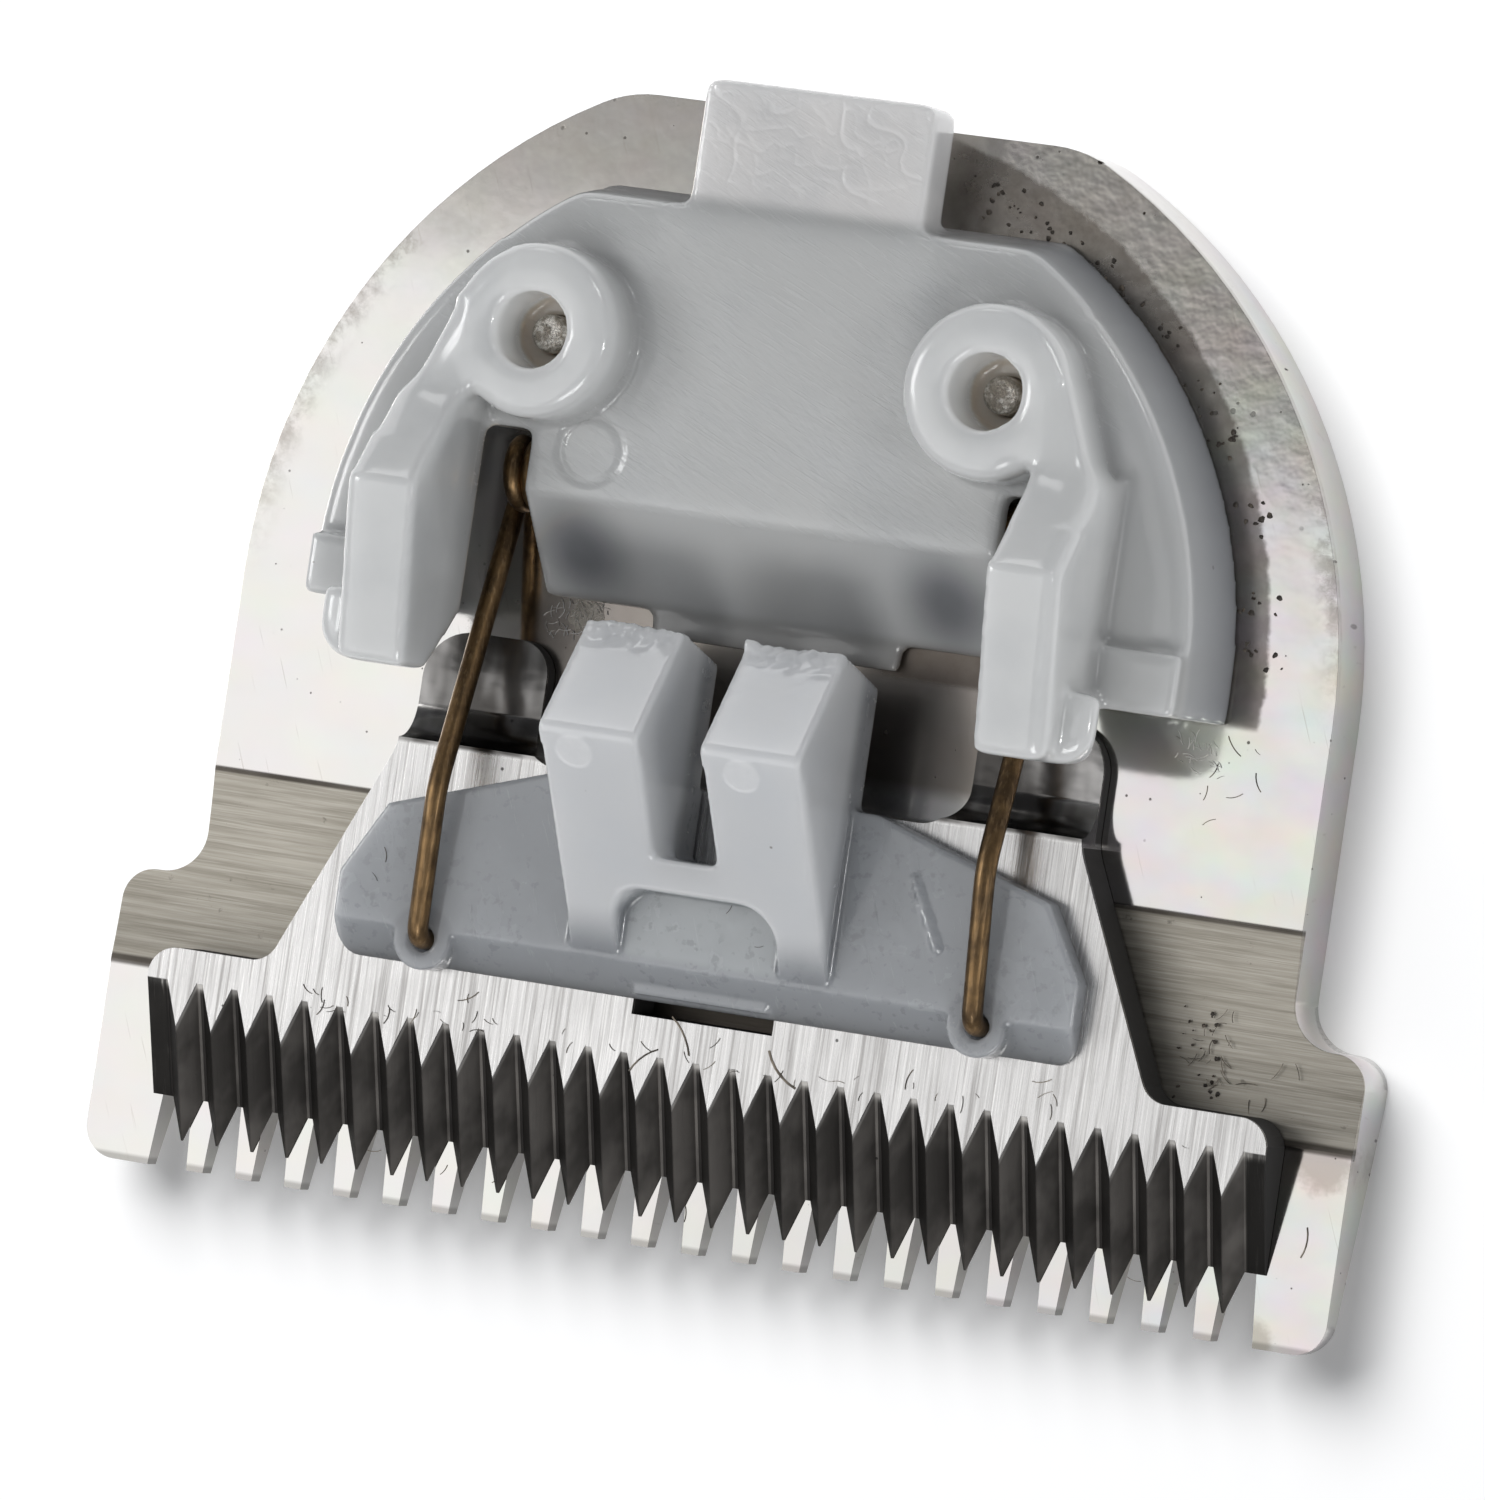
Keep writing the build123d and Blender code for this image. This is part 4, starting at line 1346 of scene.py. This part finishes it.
@dataclass
class SpringFrame:
    """The moulded frame that holds the spring."""

    voxel: float = 0.115
    passes: int = 6
    crease: float = 60.0
    corner_x: float = 10.9
    front_y: float = 14.3
    front_slack: float = 0.02
    corner_round: float = 0.5
    corner_steps: int = 4
    boss_webs: SoftZone = SoftZone(60, (3.4, 8.8), (9.4, math.inf), 2.4)
    leg_webs: SoftZone = SoftZone(22, (6.4, math.inf), (3.4, 9.2), 4.95)
    leg_ramps: SoftZone = SoftZone(90, (7.5, math.inf), (4.4, 7.8), 4.85)
    noses: SoftZone = SoftZone(8, (7.0, math.inf), (-math.inf, 1.4), 5.2)
    plate_top: float = 2.7
    ring: Span = (-4.43, 18.59)
    ring_radius: float = 0.85
    ring_width: float = 0.13
    ring_reach: float = 1.3
    ring_depth: float = 0.05
    tab_from: float = 25.3
    tab_foot: float = 2.3
    fine_cuts: int = 2
    slack: float = 0.1
    wrinkle_depth: float = 0.011
    wrinkle_scale: float = 0.95
    wrinkle_drift: Triple = (0.3, 0.0, 7.0)
    fold_sharp: float = 12.0
    fine_scale: float = 2.3
    fine_sharp: float = 9.0
    fine_share: float = 0.4
    level: float = 0.9

    def wrinkle(self, moulding: bpy.types.Object) -> None:
        """Sink fine wrinkles into the tab's top face.

        Args:
            moulding: The moulded frame.
        """
        tab = spot(0.0, self.tab_from, self.tab_foot - self.slack)
        marked = [
            vertex
            for vertex in moulding.data.vertices
            if vertex.co.y > tab.y and vertex.co.z > tab.z and vertex.normal.z > self.level
        ]
        for vertex in marked:
            place = vertex.co * self.wrinkle_scale
            drift = Vector(self.wrinkle_drift)
            drift.x *= noise.noise(vertex.co)
            main = max(1.0 - abs(noise.noise(place + drift)) * self.fold_sharp, 0.0)
            fine = abs(noise.noise(place * self.fine_scale))
            fine = max(1.0 - fine * self.fine_sharp, 0.0) * self.fine_share
            vertex.co.z -= self.wrinkle_depth * min(main + fine, 1.0)

    def mark(self, moulding: bpy.types.Object) -> None:
        """Sink the ring beside the left boss and the tab's wrinkles, on finer faces.

        Args:
            moulding: The moulded frame.
        """
        ring = spot(*self.ring, self.plate_top)
        tab = spot(0.0, self.tab_from, self.tab_foot)
        reach = self.ring_reach * self.ring_radius
        Bench.refine(moulding, self.fine_cuts, lambda at: at.z > tab.z and at.y > tab.y)
        Bench.refine(
            moulding,
            self.fine_cuts,
            lambda at: (at - ring).length < reach and at.z > ring.z - self.slack,
        )
        self.wrinkle(moulding)
        Bench.press(moulding, ring, self.ring_radius, -self.ring_depth, UP)
        Bench.press(moulding, ring, self.ring_radius - self.ring_width, self.ring_depth, UP)

    def build(self) -> bpy.types.Object:
        """Model the frame as a soft-edged moulding and dress it.

        Returns:
            The frame.
        """
        moulding = Bench.cast("spring_frame", "frame_moulding")
        front = spot(self.corner_x, self.front_y, 0.0)
        Bench.soften(
            moulding,
            self.corner_round,
            self.corner_steps,
            lambda middle: abs(middle.x) > front.x
            and abs(middle.y - front.y) < self.front_slack,
        )
        Bench.mould(moulding, self.voxel, self.passes)
        for zone in (self.boss_webs, self.leg_webs, self.leg_ramps, self.noses):
            Bench.melt(moulding, zone.passes, zone.holds)
        self.mark(moulding)
        Bench.finish(moulding, FramePlastic().material(), Slot.FRAME, self.crease)
        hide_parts("spring_frame")
        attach(moulding, Body.BASE.value)
        return moulding


@dataclass
class TorsionSpring:
    """The return spring: two coils joined by a bar, each with an arm down to the fork."""

    wire_radius: float = 0.25
    wire_steps: int = 6
    crease: float = 50.0
    coil_radius: float = 0.68
    coil_y: float = 17.85
    coil_z: float = 0.98
    coil_outer: float = 6.95
    pitch: float = 0.48
    turns: int = 4
    last_turn: float = 0.25
    turn_steps: int = 28
    bend: Triple = (7.0, 10.2, 2.85)
    bend_reach: float = 0.55
    bend_steps: int = 7
    socket: Span = (7.1, 6.5)
    over_socket: float = 2.53
    seat: float = 1.78
    foot_reach: float = 0.42
    held_at: Triple = (0.0, 16.9, 1.0)
    moved_at: Triple = (0.0, 7.4, 2.0)

    def eased(self, before: Vector, corner: Vector, after: Vector, reach: float) -> list[Vector]:
        """Give the points of a round bend in the wire.

        Args:
            before: The wire's last point before the corner.
            corner: The corner.
            after: The wire's next point.
            reach: How far from the corner the bend starts and ends.

        Returns:
            The points.
        """
        start = corner + (before - corner).normalized() * reach
        end = corner + (after - corner).normalized() * reach
        points = []
        for step in range(self.bend_steps + 1):
            share = step / self.bend_steps
            points.append(start.lerp(corner, share).lerp(corner.lerp(end, share), share))
        return points

    def route(self, side: int) -> list[Vector]:
        """Give one side's wire from the bar's middle to its seat in the fork.

        Args:
            side: 1 for the right, -1 for the left.

        Returns:
            The points along the wire.
        """
        points = [spot(0.0, self.coil_y + self.coil_radius, self.coil_z)]
        inner = self.coil_outer - self.pitch * self.turns
        turns = self.turns + self.last_turn
        count = int(self.turn_steps * turns)
        for step in range(count + 1):
            share = step / count
            angle = -2 * math.pi * turns * share
            x = inner + (self.coil_outer - inner) * share
            y = self.coil_y + self.coil_radius * math.cos(angle)
            z = self.coil_z + self.coil_radius * math.sin(angle)
            points.append(spot(side * x, y, z))
        elbow = spot(side * self.bend[0], self.bend[1], self.bend[2])
        over = spot(side * self.socket[0], self.socket[1], self.over_socket)
        seat = spot(side * self.socket[0], self.socket[1], self.seat)
        points += self.eased(points[-1], elbow, over, self.bend_reach)
        points += self.eased(elbow, over, seat, self.foot_reach)
        points.append(seat)
        return points

    def build(self) -> bpy.types.Object:
        """Draw the wire, make it a mesh and hang it between the frame and the fork.

        Returns:
            The wire.
        """
        left = self.route(-1)
        left.reverse()
        path = left + self.route(1)[1:]
        curve = bpy.data.curves.new("spring_path", "CURVE")
        curve.dimensions = "3D"
        spline = curve.splines.new("POLY")
        spline.points.add(len(path) - 1)
        for point, place in zip(spline.points, path):
            point.co = (*place, 1.0)
        curve.bevel_depth = self.wire_radius
        curve.bevel_resolution = self.wire_steps
        curve.use_fill_caps = True
        wire = bpy.data.objects.new("spring_wire", curve)
        bpy.context.scene.collection.objects.link(wire)
        Bench.pick(wire)
        bpy.ops.object.convert(target="MESH")
        wire = bpy.context.active_object
        Bench.finish(wire, SpringBronze().material(), Slot.SPRING, self.crease)
        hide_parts("torsion_spring")
        start = spot(*self.held_at) * MM
        end = spot(*self.moved_at) * MM
        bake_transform(wire)
        return wire


@dataclass
class FrameScrews:
    """The two screws from below, their tips showing in the bosses."""

    tip_round: float = 0.12
    tip_steps: int = 3
    tip_from: float = 2.0
    crease: float = 40.0

    def build(self) -> list[bpy.types.Object]:
        """Model both screws with softened tips and dress them.

        Returns:
            The screws, left and right.
        """
        steel = ScrewSteel().material()
        tip = spot(0.0, 0.0, self.tip_from).z
        made = []
        for node in ("frame_screw_left", "frame_screw_right"):
            screw = Bench.cast(node, node.replace("frame_screw", "screw"))
            Bench.soften(screw, self.tip_round, self.tip_steps, lambda middle: middle.z > tip)
            Bench.finish(screw, steel, Slot.SCREW, self.crease)
            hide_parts(node)
            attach(screw, Body.BASE.value)
            made.append(screw)
        return made


@dataclass(frozen=True)
class Patch:
    """A flat area where hairs, shreds or crumbs lie.

    Attributes:
        x: Its left and right.
        y: Its front and rear, from the comb's front edge.
        z: Its height above the comb's top face.
        count: How many bits lie there.
        longest: The longest bit.
    """

    x: Span
    y: Span
    z: float
    count: int
    longest: float


@dataclass
class Residue:
    """What use leaves behind: cut hairs, crumbs and grease."""

    seed: int = 23
    crease: float = 50.0
    shortest: float = 0.3
    narrowest: float = 0.5
    hair_radius: float = 0.028
    hair_sides: int = 5
    hair_cuts: tuple[float, ...] = (-0.3, -0.1, 0.1, 0.3)
    hair_bend: float = 55.0
    hair_rise: float = 0.6
    shred_rise: float = 0.9
    crumb_rise: float = 0.09
    crumb_radius: float = 0.5
    crumb_detail: int = 2
    crumb_kept: float = 0.5
    crumb_rough: float = 0.55
    crumb_scale: float = 2.6
    crumb_length: float = 0.17
    crumbs_each: int = 9
    crumb_spread: float = 0.5
    corner: Patch = Patch((11.3, 12.5), (5.5, 7.7), -0.1, 24, 0.12)
    on_base: tuple[Patch, ...] = (
        Patch((10.4, 12.4), (12.0, 13.9), 0.0, 8, 0.6),
        Patch((-15.3, -14.2), (1.0, 4.4), 0.0, 2, 0.7),
        Patch((15.0, 15.3), (2.3, 2.7), 0.0, 1, 0.8),
        Patch((-12.5, 12.5), (0.9, 2.2), 0.0, 10, 0.5),
        Patch((11.5, 12.6), (5.9, 7.6), -0.1, 22, 0.42),
        Patch((12.4, 14.4), (5.2, 7.0), -0.1, 5, 0.6),
        Patch((-13.6, -10.9), (9.6, 9.76), -0.1, 40, 0.3),
    )
    on_cutter: tuple[Patch, ...] = (
        Patch((-10.5, -4.5), (4.42, 4.9), 1.43, 22, 0.42),
        Patch((-3.5, 13.0), (4.42, 4.9), 1.43, 22, 0.42),
        Patch((-3.5, 6.0), (4.5, 5.2), 1.43, 4, 1.2),
        Patch((-12.8, 13.2), (5.0, 5.5), 1.43, 6, 0.6),
        Patch((-8.6, 8.6), (6.6, 10.4), 2.23, 6, 0.4),
    )
    shreds: tuple[Patch, ...] = (
        Patch((10.3, 11.4), (13.1, 14.0), 0.0, 30, 0.34),
        Patch((-6.0, -4.4), (14.15, 15.0), 0.0, 54, 0.34),
    )
    crumb_trail: tuple[Span, ...] = (
        (4.0, 25.75),
        (4.7, 25.6),
        (5.3, 25.2),
        (6.5, 24.65),
        (7.5, 23.95),
        (8.5, 23.0),
        (9.55, 21.9),
        (10.4, 20.7),
        (11.25, 19.2),
        (11.8, 17.4),
        (12.05, 16.0),
    )
    films: tuple[Triple, ...] = ((-5.0, 14.75, 0.4),)
    film_detail: int = 5
    film_lift: float = 0.015
    film_height: float = 0.04
    lobe_scale: float = 1.7
    lobe_reach: float = 0.55
    lump_scale: float = 3.0
    lump_height: float = 0.1
    film_crease: float = 80.0

    def strand(self) -> bpy.types.Object:
        """Model one bent hair, a millimetre long, lying along X.

        Returns:
            The hair.
        """
        hair = Bench.start(
            bpy.ops.mesh.primitive_cylinder_add,
            vertices=self.hair_sides,
            radius=self.hair_radius,
            depth=1.0,
            rotation=(0.0, math.pi / 2, 0.0),
        )
        bpy.ops.object.transform_apply(location=True, rotation=True, scale=True)
        with Bench.editing(hair):
            for place in self.hair_cuts:
                bpy.ops.mesh.select_all(action="SELECT")
                bpy.ops.mesh.bisect(plane_co=(place, 0.0, 0.0), plane_no=(1.0, 0.0, 0.0))
        angle = math.radians(self.hair_bend)
        Bench.modify(hair, "SIMPLE_DEFORM", deform_method="BEND", deform_axis="Z", angle=angle)
        return hair

    def crumb(self) -> bpy.types.Object:
        """Model one rough crumb of dirt, about a millimetre across.

        Returns:
            The crumb.
        """
        crumb = Bench.start(
            bpy.ops.mesh.primitive_ico_sphere_add,
            subdivisions=self.crumb_detail,
            radius=self.crumb_radius,
        )
        for vertex in crumb.data.vertices:
            vertex.co *= 1.0 + self.crumb_rough * noise.noise(vertex.co * self.crumb_scale)
        Bench.modify(crumb, "DECIMATE", ratio=self.crumb_kept)
        return crumb

    def lay(self, patch: Patch, rise: float, draw: random.Random) -> Matrix:
        """Draw the place, turn and size of one bit.

        Args:
            patch: Where it lies.
            rise: How tall it is against the model.
            draw: The random draws.

        Returns:
            The matrix that lays the model there.
        """
        height = patch.z + self.hair_radius * rise
        place = spot(draw.uniform(*patch.x), draw.uniform(*patch.y), height)
        turn = Matrix.Rotation(draw.uniform(0.0, 2 * math.pi), 4, "Z")
        flip = Matrix.Rotation(math.pi * draw.randint(0, 1), 4, "X")
        length = draw.uniform(self.shortest, 1.0) * patch.longest
        width = length * draw.uniform(self.narrowest, 1.0)
        size = Matrix.Diagonal((length, width, rise, 1.0))
        return Matrix.Translation(place) @ turn @ flip @ size

    def scatter(
        self,
        name: str,
        model: bpy.types.Object,
        patches: Sequence[Patch],
        body: Body,
        finish: bpy.types.Material,
        rise: float,
        draw: random.Random,
    ) -> bpy.types.Object:
        """Strew copies of one model over patches and join them into one piece.

        Args:
            name: The piece's name.
            model: What is strewn; it is used up.
            patches: Where the copies lie.
            body: The body they lie on.
            finish: Their finish.
            rise: How tall a copy is against the model.
            draw: The random draws.

        Returns:
            The piece.
        """
        copies = []
        for patch in patches:
            for _ in range(patch.count):
                copy = model.copy()
                copy.data = model.data.copy()
                bpy.context.scene.collection.objects.link(copy)
                copy.matrix_world = self.lay(patch, rise, draw)
                copies.append(copy)
        bpy.data.objects.remove(model)
        bpy.ops.object.select_all(action="DESELECT")
        for copy in copies:
            copy.select_set(True)
        bpy.context.view_layer.objects.active = copies[0]
        bpy.ops.object.join()
        joined = bpy.context.active_object
        joined.name = name
        Bench.finish(joined, finish, None, self.crease)
        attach(joined, body.value)
        return joined

    def film_and_painted_reflection(
        self, name: str, x: float, y: float, radius: float, material: bpy.types.Material
    ) -> bpy.types.Object:
        """Model one lumpy smear of grease on the comb.

        Args:
            name: The piece's name.
            x: Its place across.
            y: Its place from the front edge.
            radius: Its rough radius.
            material: Its finish.

        Returns:
            The piece.
        """
        smear = Bench.start(
            bpy.ops.mesh.primitive_ico_sphere_add, subdivisions=self.film_detail, radius=1.0
        )
        smear.name = name
        middle = spot(x, y, self.film_lift)
        for vertex in smear.data.vertices:
            way = vertex.co.copy()
            wide, fine = way * self.lobe_scale, way * self.lump_scale
            lobe = noise.noise(Vector((wide.x + x, wide.y + y, 0.0)))
            lump = noise.noise(Vector((fine.x + y, fine.y + x, 1.0)))
            reach = radius * (1.0 + self.lobe_reach * lobe)
            height = self.film_height + self.lump_height * max(lump, 0.0)
            height *= max(way.z, 0.0)
            vertex.co = middle + Vector((way.x * reach, way.y * reach, height))
        Bench.finish(smear, material, None, self.film_crease)
        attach(smear, Body.BASE.value)
        return smear

    def build(self) -> list[bpy.types.Object]:
        """Strew the hairs, shreds and crumbs and lay the smears.

        Returns:
            The pieces.
        """
        draw = random.Random(self.seed)
        reach = self.crumb_spread
        trail = [
            Patch(
                (x - reach, x + reach),
                (y - reach, y + reach),
                0.0,
                self.crumbs_each,
                self.crumb_length,
            )
            for x, y in self.crumb_trail
        ]
        trail.append(self.corner)
        hair = CUT_HAIR.material()
        dried = DRIED_GREASE_AND_GLINTS.material()
        dirt = DIRT_CRUMB.material()
        made = []
        for name, model, patches, body, finish, rise in (
            ("hair_on_comb", self.strand, self.on_base, Body.BASE, hair, self.hair_rise),
            ("hair_on_cutter", self.strand, self.on_cutter, Body.CUTTER, hair, self.hair_rise),
            ("grease_shreds", self.strand, self.shreds, Body.BASE, dried, self.shred_rise),
            ("dirt_crumbs", self.crumb, trail, Body.BASE, dirt, self.crumb_rise),
        ):
            made.append(self.scatter(name, model(), patches, body, finish, rise, draw))
        grease = OldGrease().material()
        for number, (x, y, radius) in enumerate(self.films, 1):
            made.append(self.film_and_painted_reflection(f"grease_{number}", x, y, radius, grease))
        return made


# The studio


class Flag(Enum):
    """What a flagged lamp lights."""

    FLOOR_ALONE = "INCLUDE"
    ALL_BUT_FLOOR = "EXCLUDE"


@dataclass(frozen=True)
class SoftBox:
    """One soft box.

    Attributes:
        name: The lamp's name.
        place: Where it hangs, in metres.
        size: Its width and height, in metres.
        glow: How bright its face is.
        roll: Degrees that a level box is turned by, or None for a box that faces the blade.
        flag: What it lights.
    """

    name: str
    place: Triple
    size: Span
    glow: float
    roll: Union[float, None] = None
    flag: Flag = Flag.ALL_BUT_FLOOR

    def hang(self, ground: bpy.types.Object) -> None:
        """Hang the box and flag it.

        Args:
            ground: The floor.
        """
        lamp = Bench.start(bpy.ops.object.light_add, type="AREA", location=self.place)
        lamp.name = self.name
        if self.roll is None:
            lamp.rotation_euler = (-Vector(self.place)).to_track_quat("-Z", "Y").to_euler()
        else:
            lamp.rotation_euler = (0.0, 0.0, math.radians(self.roll))
        width, height = self.size
        lamp.data.shape = "RECTANGLE"
        lamp.data.size, lamp.data.size_y = width, height
        lamp.data.energy = self.glow * math.pi * width * height
        group = bpy.data.collections.new(self.name + "_flag")
        group.objects.link(ground)
        group.collection_objects[0].light_linking.link_state = self.flag.value
        lamp.light_linking.receiver_collection = group


@dataclass
class Studio:
    """Pale floor, soft light and the camera."""

    right: Triple = (0.9242, 0.1453, -0.3531)
    down: Triple = (0.1383, -0.9894, -0.0451)
    forward: Triple = (-0.3559, -0.0072, -0.9345)
    eye: Triple = (0.0970, 0.000165, 0.25808)
    lens: float = 276.0
    sensor: float = 36.0
    seen: Span = (0.01, 20.0)
    paper: Colour = (0.9, 0.9, 0.9)
    floor_radius: float = 3.0
    floor_sides: int = 64
    floor_lift: float = 0.16
    room: Colour = (0.16, 0.165, 0.175)
    backdrop: Colour = (0.95, 0.95, 0.95)
    boxes: tuple[SoftBox, ...] = (
        SoftBox("shadow_box", (-0.19, 0.27, 0.42), (0.42, 0.42), 6.4, flag=Flag.FLOOR_ALONE),
        SoftBox("mirror_left", (-0.4664, -0.1992, 0.50), (0.46, 0.57), 1.3, -13.0),
        SoftBox("mirror_right", (-0.1644, -0.269, 0.50), (0.16, 0.57), 1.12, -13.0),
        SoftBox("key_box", (-0.47, 0.05, 0.46), (0.16, 0.2), 6.5),
        SoftBox("front_box", (0.16, -0.37, 0.43), (0.24, 0.2), 6.0),
        SoftBox("right_box", (0.46, -0.04, 0.33), (0.05, 0.12), 19.0),
        SoftBox("rim_box", (0.34, 0.46, 0.30), (0.15, 0.15), 5.0),
        SoftBox("rear_strip", (-0.20, 0.50, 0.145), (0.16, 0.1), 2.5),
    )

    def floor(self) -> bpy.types.Object:
        """Lay the pale floor.

        Returns:
            The floor.
        """
        ground = Bench.start(
            bpy.ops.mesh.primitive_circle_add,
            vertices=self.floor_sides,
            radius=self.floor_radius,
            fill_type="NGON",
        )
        ground.name = "floor"
        shader = {
            "Base Color": self.paper,
            "Roughness": 0.9,
            "Specular IOR Level": 0.0,
            "Emission Color": (1.0, 1.0, 1.0),
            "Emission Strength": self.floor_lift,
        }
        ground.data.materials.append(Sheet("floor_paper").surface(shader))
        return ground

    def surround(self) -> None:
        """Set the dim room that lights the blade and the pale backdrop that the camera sees."""
        sheet = Sheet("room", world=True)
        path = sheet.add("ShaderNodeLightPath", {}, {})
        room = sheet.add("ShaderNodeBackground", {}, {0: self.room})
        backdrop = sheet.add("ShaderNodeBackground", {}, {0: self.backdrop})
        mix = sheet.add(
            "ShaderNodeMixShader",
            {},
            {0: path.outputs["Is Camera Ray"], 1: room.outputs[0], 2: backdrop.outputs[0]},
        )
        sheet.add("ShaderNodeOutputWorld", {}, {0: mix.outputs[0]})
        bpy.context.scene.world = sheet.block

    def camera(self) -> None:
        """Set the camera at the photograph's angle."""
        camera = Bench.start(bpy.ops.object.camera_add)
        right, down, forward = (Vector(axis) for axis in (self.right, self.down, self.forward))
        turn = Matrix((right, -down, -forward)).transposed().to_4x4()
        camera.matrix_world = Matrix.Translation(self.eye) @ turn
        camera.data.lens = self.lens
        camera.data.sensor_width = self.sensor
        camera.data.clip_start, camera.data.clip_end = self.seen
        bpy.context.scene.camera = camera

    def build(self) -> None:
        """Set up floor, light, camera and plain colour handling."""
        ground = self.floor()
        for box in self.boxes:
            box.hang(ground)
        self.surround()
        self.camera()
        bpy.context.scene.view_settings.view_transform = "Standard"


def main() -> None:
    """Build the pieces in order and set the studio."""
    logging.basicConfig(level=logging.INFO, format="%(name)s: %(message)s")
    makers = (
        CombBlade(),
        CutterBlade(),
        DriveFork(),
        SpringFrame(),
        TorsionSpring(),
        FrameScrews(),
        Residue(),
    )
    for maker in makers:
        made = maker.build()
        for piece in made if isinstance(made, list) else [made]:
            log.info("%s: %d faces", piece.name, len(piece.data.polygons))
    Studio().build()
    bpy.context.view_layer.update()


if __name__ == "__main__":
    main()
